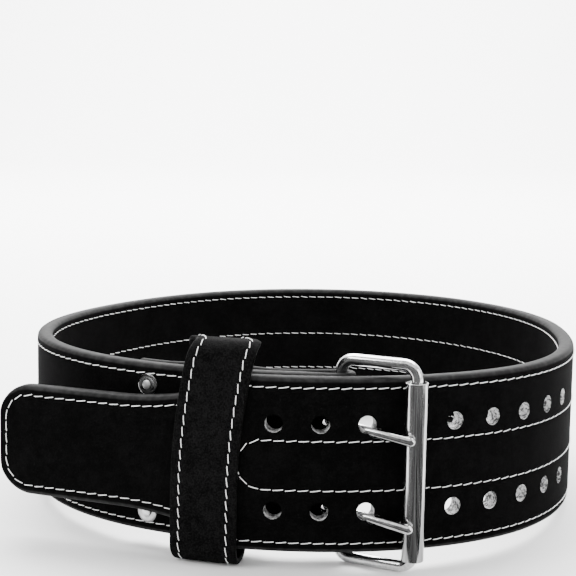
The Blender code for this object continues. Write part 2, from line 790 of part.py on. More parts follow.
def main():
    for obj in list(bpy.data.objects):
        bpy.data.objects.remove(obj)
    parts = new_collection("weightlifting_belt")
    cutters = new_collection("cutters")
    pose = bpy.data.objects.new("belt_pose", None)
    parts.objects.link(pose)
    strap = make_strap(pose, parts, cutters)
    keeper = make_keeper(pose, parts)
    frame = make_frame(pose, parts)
    made = [strap, keeper, frame, make_roller(pose, parts)]
    for name, height in prong_heights().items():
        made.append(make_prong(name, height, pose, parts))
    made += make_rivets(pose, parts)
    bpy.context.view_layer.update()
    stand(pose, strap, keeper, frame)
    centre_on_origin(pose, made)


main()
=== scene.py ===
# %% [markdown]
# # A weightlifting belt
#
# A lifting belt is one strap of 10 mm leather, faced with suede and sewn through in four rows. One end is
# folded round the base bar of a roller buckle and riveted. The other end, the tongue, passes over the folded
# end, takes the buckle's two prongs in its punched holes, and slips through a keeper loop.
#
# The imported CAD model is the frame: it says where every piece is. This lesson makes the leather, the thread
# and the metal that are seen on it.

# %% Load the frame
import json
from math import asin, atan2, ceil, cos, degrees, pi, radians, sin, sqrt

import bmesh
import bpy
import numpy as np
from mathutils import Matrix, Vector
from mathutils.kdtree import KDTree


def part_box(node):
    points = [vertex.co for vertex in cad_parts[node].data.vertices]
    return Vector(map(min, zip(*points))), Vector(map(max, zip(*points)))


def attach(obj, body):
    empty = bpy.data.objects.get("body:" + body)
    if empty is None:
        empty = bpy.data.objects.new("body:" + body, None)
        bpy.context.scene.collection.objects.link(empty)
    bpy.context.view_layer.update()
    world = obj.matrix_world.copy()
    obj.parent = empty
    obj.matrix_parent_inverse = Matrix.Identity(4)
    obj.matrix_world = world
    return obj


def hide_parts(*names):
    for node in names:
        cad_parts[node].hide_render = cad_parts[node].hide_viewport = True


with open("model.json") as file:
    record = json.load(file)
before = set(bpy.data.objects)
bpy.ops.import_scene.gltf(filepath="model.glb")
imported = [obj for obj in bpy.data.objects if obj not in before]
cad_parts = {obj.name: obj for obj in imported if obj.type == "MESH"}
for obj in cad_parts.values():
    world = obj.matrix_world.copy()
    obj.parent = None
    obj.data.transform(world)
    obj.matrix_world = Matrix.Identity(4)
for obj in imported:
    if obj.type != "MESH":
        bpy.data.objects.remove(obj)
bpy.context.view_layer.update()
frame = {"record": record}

# %% [markdown]
# ## Node trees written as sums
#
# Materials and Geometry Nodes are both trees of nodes. A tree built by hand in code is hard to read, because
# each plus sign takes four lines. Here one small class stands for an output socket and knows the arithmetic
# operators, so a mask reads as the formula that it is. Every other node comes from one method.

# %% A socket that can be added and multiplied
class Signal:
    """The output of a node, with the operators of ordinary arithmetic."""

    def __init__(self, tree, socket):
        self.tree = tree
        self.socket = socket

    def math(self, operation, *others):
        inputs = dict(enumerate((self, *others)))
        return self.tree.node("ShaderNodeMath", {"operation": operation}, inputs)

    def vector(self, operation, other):
        return self.tree.node("ShaderNodeVectorMath", {"operation": operation}, {0: self, 1: other})

    def scaled(self, factor):
        return self.tree.node("ShaderNodeVectorMath", {"operation": "SCALE"}, {0: self, "Scale": factor})

    def __add__(self, other):
        return self.math("ADD", other)

    def __sub__(self, other):
        return self.math("SUBTRACT", other)

    def __mul__(self, other):
        return self.math("MULTIPLY", other)

    def __rsub__(self, other):
        return self.tree.node("ShaderNodeMath", {"operation": "SUBTRACT"}, {0: other, 1: self})

    __radd__ = __add__
    __rmul__ = __mul__

    def ramp(self, low, high):
        """0 below low, 1 above high, smooth between them. It falls where high is the smaller one."""
        falls = float(low > high)
        return self.tree.node("ShaderNodeMapRange", {"interpolation_type": "SMOOTHSTEP"}, {
            "Value": self, "From Min": min(low, high), "From Max": max(low, high),
            "To Min": falls, "To Max": 1 - falls})

    def output(self, name):
        return Signal(self.tree, self.socket.node.outputs[name])


class Tree:
    """Adds nodes to a node tree: type, settings first, then the values or links of the inputs."""

    def __init__(self, node_tree):
        self.node_tree = node_tree

    def node(self, kind, settings=None, inputs=None, output=0):
        node = self.node_tree.nodes.new(kind)
        for name, value in (settings or {}).items():
            setattr(node, name, value)
        for key, value in (inputs or {}).items():
            if isinstance(value, Signal):
                self.node_tree.links.new(value.socket, node.inputs[key])
            else:
                node.inputs[key].default_value = value
        return Signal(self, node.outputs[output])

    def geo(self, kind, settings=None, output=0, **inputs):
        """A Geometry Nodes node, with its inputs by their names."""
        inputs = {key.replace("_", " "): value for key, value in inputs.items()}
        return self.node("GeometryNode" + kind, settings, inputs, output)


# %% [markdown]
# ## How the belt stands
#
# The belt is drawn level, with the lower edge of the strap at height 0, as it would be drawn on paper. The
# real one rests on the buckle frame, on the keeper loop and on the back of the strap, so it leans back a
# little. One matrix, the pose, does that to every finished mesh. Its tilt comes from the frame's resting
# face, and its place from the roller.

# %% Sizes of the strap, in metres
SEAT_GAP = 0.0003
STRAP_WIDTH = 0.1016
STRAP_THICK = 0.010
STRAP_EDGE_RADIUS = 0.0032
MIDDLE = STRAP_WIDTH / 2
FLAP_THICK = 0.005
SKIVE_LENGTH = 0.027          # over which the strap thins towards the fold
RING_RADIUS = 0.1850          # of the ring's outer face
RING_SHAPE = (
    # lobes, how far a lobe stands out as a share of the radius, heading of one lobe in degrees
    (2, 0.0398, 62.8),
    (3, 0.0240, -40.7),
    (4, 0.0061, 23.1),
)
BAR_HEADING = -85.2           # degrees, where the folded end holds the buckle's base bar
LAP_RAMP_LENGTH = 0.183       # over which the strap moves out to lie on its folded end
LAP_RAMP_END = 0.096          # from there to the base bar
RIVET_PROUD = 0.0026          # of the rivets over the strap they go through
LAP_OFFSET = RIVET_PROUD + SEAT_GAP + STRAP_THICK


class Ring:
    """The strap's way round the waist, by arc length from the base bar."""

    SAMPLES = 1440
    REACH = 0.002

    def __init__(self):
        heading = radians(BAR_HEADING) - np.linspace(0, 2 * pi, self.SAMPLES + 1)
        radius = np.ones_like(heading)
        for lobes, share, lobe_heading in RING_SHAPE:
            radius = radius + share * np.cos(lobes * (heading - radians(lobe_heading)))
        self.x = RING_RADIUS * radius * np.cos(heading)
        self.y = RING_RADIUS * radius * np.sin(heading)
        steps = np.hypot(np.diff(self.x), np.diff(self.y))
        self.places = np.concatenate(([0.0], np.cumsum(steps)))
        self.length = float(self.places[-1])

    def point(self, place):
        place = place % self.length
        return Vector((np.interp(place, self.places, self.x), np.interp(place, self.places, self.y), 0))

    def ahead(self, place):
        return (self.point(place + self.REACH) - self.point(place - self.REACH)).normalized()

    def outward(self, place):
        ahead = self.ahead(place)
        return Vector((-ahead.y, ahead.x, 0))

    def at(self, place, out=0.0, height=0.0):
        return self.point(place) + self.outward(place) * out + Vector((0, 0, height))


RING = Ring()
print("the ring is", round(RING.length, 4), "m round")


def eased(share):
    share = min(max(share, 0.0), 1.0)
    return share * share * (3 - 2 * share)


def evenly(start, end, steps):
    """Numbers from start to end, both included."""
    return [start + (end - start) * i / steps for i in range(steps + 1)]


def spaced(start, end, step):
    """The same, no further apart than the step."""
    return evenly(start, end, max(1, ceil(abs(end - start) / step - 1e-6)))


# %% Sizes of the buckle, and where its bars are
WIRE_RADIUS = 0.0034
FRAME_HEIGHT = 0.1169         # between the wire's centres
FRAME_REACH = 0.0470          # from the base bar to the roller's bar, between centres
FRAME_BEND_RADIUS = 0.0082
ROLLER_RADIUS = 0.0065
ROLLER_WALL = 0.0008
ROLLER_LENGTH = 0.103
PRONG_RADIUS = 0.0028
PRONG_OVERHANG = 0.0042
PRONG_DROOP = 0.105
PRONG_SAG = 0.0020
HOLE_ROW_OFFSET = 0.0252      # upper and lower rows from the middle of a pair
HOLE_MIDDLE = MIDDLE - 0.0011  # of a pair
EYE_WRAP = 272                # degrees
FOLD_RADIUS = WIRE_RADIUS + SEAT_GAP + FLAP_THICK
EYE_RADIUS = WIRE_RADIUS + SEAT_GAP + PRONG_RADIUS
FRAME_LOW = MIDDLE - FRAME_HEIGHT / 2


class Buckle:
    """Points by distance from the base bar towards the roller, and outward."""

    def __init__(self):
        self.bar = RING.at(0, -FOLD_RADIUS)
        self.right = -RING.ahead(0)
        self.out = RING.outward(0)
        self.roller = self.find_roller()
        towards_roller = self.roller - self.bar
        tilt = atan2(towards_roller.dot(self.out), towards_roller.dot(self.right))
        rise = ROLLER_RADIUS + SEAT_GAP + PRONG_RADIUS - EYE_RADIUS
        self.shank_angle = tilt + asin(rise / FRAME_REACH)
        self.shank_length = sqrt(FRAME_REACH ** 2 - rise ** 2) + PRONG_OVERHANG

    def find_roller(self):
        """The roller lies on the tongue, as far from the base bar as the frame reaches."""
        near, far = 0.0, FRAME_REACH
        while far - near > 1e-7:
            back = (near + far) / 2
            if (RING.at(-back, LAP_OFFSET + SEAT_GAP + ROLLER_RADIUS) - self.bar).length < FRAME_REACH:
                near = back
            else:
                far = back
        return RING.at(-far, LAP_OFFSET + SEAT_GAP + ROLLER_RADIUS)

    def at(self, right, out, height):
        return self.bar + self.right * right + self.out * out + Vector((0, 0, height))


BUCKLE = Buckle()


def roller_foot():
    """Height of the roller's lower end, where its bore meets the bend of the wire."""
    bend_inside = FRAME_BEND_RADIUS - WIRE_RADIUS - SEAT_GAP
    bore_side = FRAME_BEND_RADIUS - (ROLLER_RADIUS - ROLLER_WALL)
    return FRAME_LOW + FRAME_BEND_RADIUS - sqrt(max(0, bend_inside ** 2 - bore_side ** 2))


# %% The pose, from the frame
REST_AXIS = Vector(frame["record"]["mounts"][0]["axis"])
TILT = atan2(-REST_AXIS.y, -REST_AXIS.z)
LEAN_BACK = Matrix.Rotation(-TILT, 4, "X")
roller_low, roller_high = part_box("buckle_roller")
ROLLER_MIDDLE = BUCKLE.roller + Vector((0, 0, roller_foot() + ROLLER_LENGTH / 2))
POSE = Matrix.Translation((roller_low + roller_high) / 2 - LEAN_BACK @ ROLLER_MIDDLE) @ LEAN_BACK
print("leans back by", round(degrees(TILT), 2), "degrees, moved by", [round(v, 5) for v in POSE.translation])

# %% [markdown]
# ## Pieces and their collection
#
# Each finished piece is a plain mesh whose object stays at the origin. A modifier stack or a node tree that
# made it is applied first, with new_from_object, and then the pose goes into the mesh.

# %% Helpers for pieces
PIECES = bpy.data.collections.new("belt_pieces")
bpy.context.scene.collection.children.link(PIECES)


def add_object(name, data, *materials):
    obj = bpy.data.objects.new(name, data)
    PIECES.objects.link(obj)
    for material in materials:
        data.materials.append(material)
    return obj


def mesh_of(name, points, edges=(), faces=(), attributes=None):
    """A mesh with named values at its points: numbers or vectors."""
    data = bpy.data.meshes.new(name)
    data.from_pydata([tuple(point) for point in points], list(edges), list(faces))
    for key, values in (attributes or {}).items():
        if isinstance(values[0], (int, float)):
            data.attributes.new(key, "FLOAT", "POINT").data.foreach_set("value", values)
        else:
            flat = [number for value in values for number in value]
            data.attributes.new(key, "FLOAT_VECTOR", "POINT").data.foreach_set("vector", flat)
    return data


def chain(count, closed=False):
    """Edges that join points in their order."""
    edges = [(i, i + 1) for i in range(count - 1)]
    return edges + [(count - 1, 0)] if closed else edges


def applied(obj):
    """Replaces the object's mesh or curve by what its modifiers make, and drops them."""
    bpy.context.view_layer.update()
    depsgraph = bpy.context.evaluated_depsgraph_get()
    data = bpy.data.meshes.new_from_object(obj.evaluated_get(depsgraph), preserve_all_data_layers=True,
                                           depsgraph=depsgraph)
    finished = bpy.data.objects.new(obj.name + "_mesh", data)
    PIECES.objects.link(finished)
    name = obj.name
    bpy.data.objects.remove(obj)
    finished.name = name
    data.name = name
    return finished


def node_modifier(obj, group, **values):
    """Adds a Geometry Nodes modifier and sets its inputs by their identifiers."""
    modifier = obj.modifiers.new(group.name, "NODES")
    modifier.node_group = group
    for item in group.interface.items_tree:
        key = item.name.lower().replace(" ", "_")
        if item.item_type == "SOCKET" and item.in_out == "INPUT" and key in values:
            modifier[item.identifier] = values[key]
    return modifier


def with_normals(data, merge=False):
    """Faces turned outward. Merge joins the points that meet on an axis and drops the flat faces there."""
    bm = bmesh.new()
    bm.from_mesh(data)
    if merge:
        bmesh.ops.remove_doubles(bm, verts=bm.verts, dist=1e-6)
        bmesh.ops.dissolve_degenerate(bm, edges=bm.edges, dist=1e-7)
    bmesh.ops.recalc_face_normals(bm, faces=bm.faces)
    bm.to_mesh(data)
    bm.free()
    return data


def loft_faces(rows, width, closed_rows, closed_width):
    """Quads between rows of points that are numbered row by row."""
    quads = []
    for i in range(rows if closed_rows else rows - 1):
        this, following = i * width, (i + 1) % rows * width
        for a in range(width if closed_width else width - 1):
            b = (a + 1) % width
            quads.append((this + a, this + b, following + b, following + a))
    return quads


def into_pose(obj):
    obj.data.transform(POSE)
    obj.data.update()
    return obj


def shade_by_angle(obj, angle):
    obj.data.shade_smooth()
    obj.data.set_sharp_from_angle(angle=radians(angle))


def new_geometry_tree(name, inputs):
    """A Geometry Nodes group with a mesh in, a mesh out and the named inputs. Returns tree and signals."""
    group = bpy.data.node_groups.new(name, "GeometryNodeTree")
    group.interface.new_socket("Geometry", in_out="OUTPUT", socket_type="NodeSocketGeometry")
    group.interface.new_socket("Geometry", in_out="INPUT", socket_type="NodeSocketGeometry")
    for label, kind in inputs:
        group.interface.new_socket(label, in_out="INPUT", socket_type="NodeSocket" + kind)
    tree = Tree(group)
    first = tree.node("NodeGroupInput")
    return tree, {"Geometry": first, **{label: first.output(label) for label, _ in inputs}}


def finish_geometry_tree(tree, geometry, material):
    realized = tree.geo("RealizeInstances", Geometry=geometry)
    painted = tree.geo("SetMaterial", Geometry=realized, Material=material)
    end = tree.node_tree.nodes.new("NodeGroupOutput")
    tree.node_tree.links.new(painted.socket, end.inputs[0])
    return tree.node_tree


def named(tree, name, kind="FLOAT"):
    return tree.geo("InputNamedAttribute", {"data_type": kind}, Name=name)


# %% [markdown]
# ## Leather, thread and metal
#
# Suede is leather sanded to a short nap. It has almost no gloss: what shows is a fine mottling where the nap
# lies one way or the other. Object coordinates keep the grain the same size on each piece, with no seams.

# %% A material starts from one shader
def new_material(name, **constants):
    """A material and its tree and shader. Constants go on the shader's own sockets."""
    material = bpy.data.materials.new(name)
    material.use_nodes = True
    shader = material.node_tree.nodes["Principled BSDF"]
    for key, value in constants.items():
        shader.inputs[key.replace("_", " ")].default_value = value
    return material, Tree(material.node_tree), shader


def grain(tree, size, detail=3.0, place=None):
    """Noise whose spots are about that large, in metres."""
    place = place or tree.node("ShaderNodeTexCoord").output("Object")
    return tree.node("ShaderNodeTexNoise", inputs={"Vector": place, "Scale": 1 / size, "Detail": detail})


def mixed(tree, share, first, second):
    """Two colours mixed by a share."""
    return tree.node("ShaderNodeMix", {"data_type": "RGBA"}, {0: share, 6: first, 7: second}, output=2)


def relief(tree, shader, height, depth):
    """Feeds a height from 0 to 1 to the shader's normal as a bump of that depth, in metres."""
    bump = tree.node("ShaderNodeBump", inputs={"Height": height, "Distance": depth, "Strength": 1.0})
    tree.node_tree.links.new(bump.socket, shader.inputs["Normal"])


def feed(tree, shader, **signals):
    for key, signal in signals.items():
        tree.node_tree.links.new(signal.socket, shader.inputs[key.replace("_", " ")])


def grey(value):
    return (value, value, value, 1.0)


# %% [markdown]
# ## Suede of the strap
#
# The same material dresses the faces and the rim. The mesh carries a value called rim, which is 1 on the
# burnished edge and falls to 0 on the faces, and the distance of each stitch row from the strap's middle.
# The rim is waxed, so it alone has a thin coat. The thread is pulled tight, so the leather dips along a row.

# %% Strap suede, burnished edge, dip along the stitches
GROOVE_HALF_WIDTH = 0.0016    # of the dip along a stitch row
NAP_SIZE = 0.0009
NAP_DEPTH = 0.0006
FACE_DARK = grey(0.0008)
FACE_PALE = grey(0.0026)
EDGE_DARK = grey(0.009)
EDGE_PALE = grey(0.018)


def attribute(tree, name):
    return tree.node("ShaderNodeAttribute", {"attribute_name": name}).output("Fac")


def make_suede():
    material, tree, shader = new_material("strap_suede", Specular_IOR_Level=0.02, Coat_Roughness=0.5,
                                          Coat_IOR=1.35)
    nap = grain(tree, NAP_SIZE, 4.0)
    patches = grain(tree, 0.018, 2.0)
    streaks = grain(tree, 0.004, 3.0)
    mottle = (nap * 0.5 + streaks * 0.25 + patches * 0.25).ramp(0.38, 0.66)
    rim = attribute(tree, "rim").ramp(0.0, 0.3)
    face = mixed(tree, mottle, FACE_DARK, FACE_PALE)
    edge = mixed(tree, streaks.ramp(0.35, 0.7), EDGE_DARK, EDGE_PALE)
    height = attribute(tree, "height").math("ABSOLUTE")
    outer = (height - attribute(tree, "edge_row")).math("ABSOLUTE")
    inner = (height - attribute(tree, "inner_row")).math("ABSOLUTE")
    groove = outer.math("MINIMUM", inner).ramp(GROOVE_HALF_WIDTH, 0.0)
    feed(tree, shader, Base_Color=mixed(tree, rim, face, edge), Roughness=0.93 - rim * 0.3 - nap * 0.06,
         Coat_Weight=rim * 0.07)
    surface = nap * 0.16 * (1 - rim * 0.8) + streaks * 0.12 - groove * (1 - rim) * 0.9
    relief(tree, shader, surface, NAP_DEPTH)
    return material


SUEDE = make_suede()

# %% Raw leather in the punched holes, thread
THREAD_PALE = 0.95


def make_raw_leather():
    """The hole's wall: pale leather with dark patches that fall at random."""
    material, tree, shader = new_material("raw_leather", Roughness=0.75, Specular_IOR_Level=0.3)
    fibres = grain(tree, 0.0012, 4.0)
    dark_patches = grain(tree, 0.0030, 3.0)
    share = (fibres * 0.5 + dark_patches * 0.5).ramp(0.42, 0.58)
    feed(tree, shader, Base_Color=mixed(tree, share, grey(0.05), grey(0.62)))
    relief(tree, shader, fibres, 0.0003)
    return material


def make_thread():
    """Waxed polyester thread: white, with fibres a little darker between them."""
    material, tree, shader = new_material("white_thread", Sheen_Weight=0.2, Specular_IOR_Level=0.4)
    fibres = grain(tree, 0.0004, 2.0)
    colour = mixed(tree, fibres.ramp(0.3, 0.7), grey(THREAD_PALE * 0.72), grey(THREAD_PALE))
    feed(tree, shader, Base_Color=colour, Roughness=0.55 + fibres * 0.2)
    relief(tree, shader, fibres, 0.0001)
    return material


RAW_LEATHER = make_raw_leather()
THREAD = make_thread()

# %% [markdown]
# ## Chrome and rivets
#
# Chrome mirrors the room, so its look comes from the lights and from what stands dark around the belt. Fine
# scratches widen the reflections a little. Plated wire is drawn through a die, which leaves faint lines
# along it. On the roller the noise is stretched upright and runs from dark to pale plate, so its streaks
# are drawn lines and painted reflections as well.

# %% Metal finishes
def make_metal(name, dark, pale, roughness, spread, stretch=(1, 1, 1), depth=0.00002):
    """Plate from dark to pale, and rougher by the spread where it is pale."""
    material, tree, shader = new_material(name, Metallic=1.0)
    place = tree.node("ShaderNodeTexCoord").output("Object").vector("MULTIPLY", Vector(stretch))
    lines = grain(tree, 0.0015, 3.0, place)
    haze = grain(tree, 0.012, 2.0, place)
    share = (lines * 0.5 + haze * 0.5).ramp(0.35, 0.65)
    feed(tree, shader, Base_Color=mixed(tree, share, grey(dark), grey(pale)),
         Roughness=share * spread + roughness)
    relief(tree, shader, lines, depth)
    return material


CHROME = make_metal("chrome_wire", 0.52, 0.76, 0.07, 0.06)
# Roller: upright streaks of dark and pale plate, partly drawn lines and partly painted reflections.
ROLLER_LINES_AND_PAINTED_STREAKS = make_metal("roller_chrome", 0.22, 0.72, 0.08, 0.10, (1.4, 1.4, 0.03), 0.00004)
RIVET_NICKEL = make_metal("rivet_nickel", 0.62, 0.80, 0.30, 0.15)
BURR_STEEL = make_metal("burr_steel", 0.24, 0.36, 0.08, 0.06)
print(len(bpy.data.materials), "materials")

# %% [markdown]
# ## The strap
#
# The strap is one long sweep: a rounded rectangle carried along a path. The path starts at the end of the
# folded flap, runs inside to the buckle, turns round the base bar, goes once round the waist, climbs onto
# the folded end and ends in the free tongue. Width and thickness change on the way, so the points of the
# path carry them as values, and one Geometry Nodes tree puts every point of the section in its place. That
# keeps the rounded edges the same size where the strap narrows, which a scaled section would not.

# %% Sizes of the flap, the tongue and the keeper
RIVET_NEAR_PLACE = 0.0356
RIVET_COLUMN_GAP = 0.0812
RIVET_ROW_OFFSET = 0.0383
RIVET_HEAD_RADIUS = 0.0053
FLAP_END_MARGIN = 0.0150
RIVET_FAR_PLACE = RIVET_NEAR_PLACE + RIVET_COLUMN_GAP
FLAP_LENGTH = RIVET_FAR_PLACE + FLAP_END_MARGIN
KEEPER_WIDTH = 0.0376
KEEPER_THICK = 0.0035
KEEPER_PLACE = 0.0754
KEEPER_INNER_HEIGHT = 0.124
KEEPER_BEND_RADIUS = 0.0086
KEEPER_LEAN = 0.0076
KEEPER_LEAN_FROM = 0.024
KEEPER_START = KEEPER_PLACE - KEEPER_WIDTH / 2
KEEPER_END = KEEPER_PLACE + KEEPER_WIDTH / 2
TAB_WIDTH = 0.0670
TAB_LENGTH = 0.0792
TAB_CORNER_RADIUS = 0.0215
SHOULDER_LENGTH = 0.0660
SHOULDER_REACH = 0.0380
SHOULDER_END = KEEPER_END + SHOULDER_REACH
SHOULDER_START = SHOULDER_END - SHOULDER_LENGTH
FREE_LENGTH = SHOULDER_REACH + TAB_LENGTH
SPRING_RADIUS = 6.0
NEAR_END = RIVET_NEAR_PLACE + RIVET_HEAD_RADIUS + SEAT_GAP
POCKET_SLACK = 0.001
POCKET_START = KEEPER_START - POCKET_SLACK
POCKET_END = KEEPER_END + POCKET_SLACK
FAR_START = RIVET_FAR_PLACE - RIVET_HEAD_RADIUS - SEAT_GAP
TONGUE_START = RING.length + KEEPER_END
STRAP_END = TONGUE_START + FREE_LENGTH


def lap(place):
    """How far the strap's outer face stands outside the ring's."""
    start = RING.length - LAP_RAMP_END - LAP_RAMP_LENGTH
    return LAP_OFFSET * eased((place - start) / LAP_RAMP_LENGTH)


def outer_face(place, out=0.0, height=0.0):
    """A point by its place on the strap's outer face, from the base bar to the tongue's tip."""
    if place <= TONGUE_START:
        return RING.at(place, lap(place) + out, height)
    start = RING.at(KEEPER_END, LAP_OFFSET)
    ahead = RING.ahead(KEEPER_END)
    outward = RING.outward(KEEPER_END)
    turn = (place - TONGUE_START) / SPRING_RADIUS
    centre = start - outward * SPRING_RADIUS
    return centre + (outward * cos(turn) + ahead * sin(turn)) * (SPRING_RADIUS + out) + Vector((0, 0, height))


def face_outward(place):
    return (outer_face(place, 1.0) - outer_face(place)).normalized()


def flap_depth(place):
    """Depth of the flap's hidden face under the ring's outer face."""
    seated = STRAP_THICK + SEAT_GAP
    at_bar = FOLD_RADIUS + WIRE_RADIUS + SEAT_GAP
    pocket = STRAP_THICK + SEAT_GAP + KEEPER_THICK + SEAT_GAP
    if place < NEAR_END:
        off_bar = eased(place / (RIVET_NEAR_PLACE - RIVET_HEAD_RADIUS - SEAT_GAP))
        return at_bar + (seated - at_bar) * off_bar
    if place < POCKET_END:
        return seated + (pocket - seated) * eased((place - NEAR_END) / (POCKET_START - NEAR_END))
    return pocket + (seated - pocket) * eased((place - POCKET_END) / (FAR_START - POCKET_END))


def half_width(place):
    """Half the strap's width: full, then the concave shoulders, the tab and its rounded tip."""
    past_bar = place - RING.length
    share = min(max((past_bar - SHOULDER_START) / SHOULDER_LENGTH, 0), 1)
    half = STRAP_WIDTH / 2 - (STRAP_WIDTH - TAB_WIDTH) / 2 * sqrt(1 - (1 - share) ** 2)
    into_corner = place - (STRAP_END - TAB_CORNER_RADIUS)
    if into_corner > 0:
        half -= TAB_CORNER_RADIUS - sqrt(max(0, TAB_CORNER_RADIUS ** 2 - into_corner ** 2))
    return half


# %% [markdown]
# ## Where the stitch rows run
#
# Two rows follow the edges and two run nearer the middle. On the tongue the outer rows follow the shoulders
# and go round the tip, and the inner pair closes in a half circle under the keeper loop.

# %% Stitch rows by their distance from the strap's middle
EDGE_ROW = 0.0449
INNER_ROW = 0.0143
TAB_ROW_MARGIN = 0.0059       # from the tab's edge to its stitches
EDGE_ROW_MARGIN = MIDDLE - EDGE_ROW
INNER_END = RING.length + 0.0432   # centre of the half circle that joins the inner rows
NO_ROW = 1.0


def edge_row(place):
    """Distance of the outer rows from the middle, up to the tip's corners."""
    half = half_width(min(place, STRAP_END - TAB_CORNER_RADIUS))
    narrowed = (MIDDLE - half) / (MIDDLE - TAB_WIDTH / 2)
    return half - EDGE_ROW_MARGIN - (TAB_ROW_MARGIN - EDGE_ROW_MARGIN) * narrowed


def inner_row(place):
    past = place - INNER_END
    if past <= 0:
        return INNER_ROW
    return sqrt(INNER_ROW ** 2 - past ** 2) if past < INNER_ROW else NO_ROW


# %% The path of the strap, with its values
RING_STEP = 0.0045
FINE_STEP = 0.0025
FOLD_STEPS = 18
END_STEPS = 5                 # sections that round an end over the edge radius
FINE_REACH = 0.14             # of the finer sections, from the base bar
SHOULDER_TURN = 5             # degrees
CORNER_SECTIONS = 12
LARGEST_EDGE = 0.42           # edge radius as a share of the thickness


def strap_section(face, back, half, place=None, inset=0.0):
    """One section: its point on the outer face, the direction through the leather, and its sizes."""
    across = back - face
    thick = across.length
    across = across / thick
    thick -= 2 * inset
    return {"face": tuple(face + across * inset), "across": tuple(across), "thick": thick,
            "half": half - inset, "edge_radius": min(STRAP_EDGE_RADIUS, LARGEST_EDGE * thick),
            "edge_row": EDGE_ROW if place is None else edge_row(place),
            "inner_row": INNER_ROW if place is None else inner_row(place)}


def end_insets(radius):
    """Distances from an end and how far each face draws in there, for a rounded end."""
    for i in range(END_STEPS):
        turn = pi / 2 * (i + 0.6) / END_STEPS
        yield radius * (1 - cos(turn)), radius * (1 - sin(turn))


def strap_path():
    flap_edge = LARGEST_EDGE * FLAP_THICK
    flap = [(FLAP_LENGTH - back, inset) for back, inset in end_insets(flap_edge)]
    flap += [(place, 0.0) for place in spaced(FLAP_LENGTH - flap_edge, 0, FINE_STEP)[:-1]]
    for place, inset in flap:
        depth = flap_depth(place)
        yield strap_section(RING.at(place, -depth - FLAP_THICK), RING.at(place, -depth), MIDDLE, inset=inset)
    for turn in evenly(-pi / 2, pi / 2, FOLD_STEPS):
        spoke = BUCKLE.right * cos(turn) + BUCKLE.out * sin(turn)
        yield strap_section(BUCKLE.bar + spoke * FOLD_RADIUS, BUCKLE.bar + spoke * (FOLD_RADIUS - FLAP_THICK),
                            MIDDLE)
    shoulder = RING.length + SHOULDER_END
    places = spaced(0, FINE_REACH, FINE_STEP)[1:]
    places += spaced(FINE_REACH, shoulder - SHOULDER_LENGTH, RING_STEP)[1:]
    places += [shoulder - SHOULDER_LENGTH * cos(radians(turn))
               for turn in range(SHOULDER_TURN, 91, SHOULDER_TURN)]
    corner = STRAP_END - TAB_CORNER_RADIUS
    places += spaced(shoulder, corner, RING_STEP)[1:]
    last = asin(1 - STRAP_EDGE_RADIUS / TAB_CORNER_RADIUS)
    places += [corner + TAB_CORNER_RADIUS * sin(last * i / CORNER_SECTIONS)
               for i in range(1, CORNER_SECTIONS + 1)]
    for place in places:
        thick = FLAP_THICK + (STRAP_THICK - FLAP_THICK) * eased(place / SKIVE_LENGTH)
        yield strap_section(outer_face(place), outer_face(place, -thick), half_width(place), place)
    for back, inset in reversed(list(end_insets(STRAP_EDGE_RADIUS))):
        place = STRAP_END - back
        yield strap_section(outer_face(place), outer_face(place, -STRAP_THICK), half_width(place) + inset,
                            place, inset)


# %% [markdown]
# ## The section and the sweep
#
# A section's point is not a position yet. It says which face it belongs to, how far up the strap it is, and
# where on the rounded edge it lies. The tree turns these shares into a position with the path's thickness,
# half width and edge radius at that place.

# %% One closed section
FACE_STEPS = 16
RIM_STEPS = 3
CORNER_STEPS = 4


def section_points():
    """back, side, bend through the leather, bend upwards, rim: once round, starting low on the outer face."""
    rows = [(0, side, -1, 0, 0) for side in evenly(-1, 1, FACE_STEPS)[:-1]]
    for i in range(CORNER_STEPS):
        turn = pi / 2 * i / CORNER_STEPS
        rows.append((0, 1, -cos(turn), sin(turn), i / CORNER_STEPS))
    rows += [(back, 1, 0, 1, 1) for back in evenly(0, 1, RIM_STEPS)[:-1]]
    for i in range(CORNER_STEPS):
        turn = pi / 2 * i / CORNER_STEPS
        rows.append((1, 1, sin(turn), cos(turn), 1 - i / CORNER_STEPS))
    return rows + [(1 - back, -side, -bend, -up, rim) for back, side, bend, up, rim in rows]


def strap_sweep_tree():
    tree, inputs = new_geometry_tree("sweep_the_strap", (("Section", "Object"), ("Material", "Material")))
    section = tree.geo("ObjectInfo", Object=inputs["Section"]).output("Geometry")
    rail = tree.geo("MeshToCurve", Mesh=inputs["Geometry"])
    profile = tree.geo("MeshToCurve", Mesh=section)
    swept = tree.geo("CurveToMesh", Curve=rail, Profile_Curve=profile, Fill_Caps=True)
    thick, half, radius = named(tree, "thick"), named(tree, "half"), named(tree, "edge_radius")
    back, side = named(tree, "back"), named(tree, "side")
    depth = radius + back * (thick - radius * 2) + radius * named(tree, "bend_in")
    height = side * (half - radius) + radius * named(tree, "bend_up") + MIDDLE
    up = tree.node("ShaderNodeCombineXYZ", inputs={"Z": height})
    across = named(tree, "across", "FLOAT_VECTOR").scaled(depth)
    place = named(tree, "face", "FLOAT_VECTOR").vector("ADD", across).vector("ADD", up)
    moved = tree.geo("SetPosition", Geometry=swept, Position=place)
    return finish_geometry_tree(tree, moved, inputs["Material"])


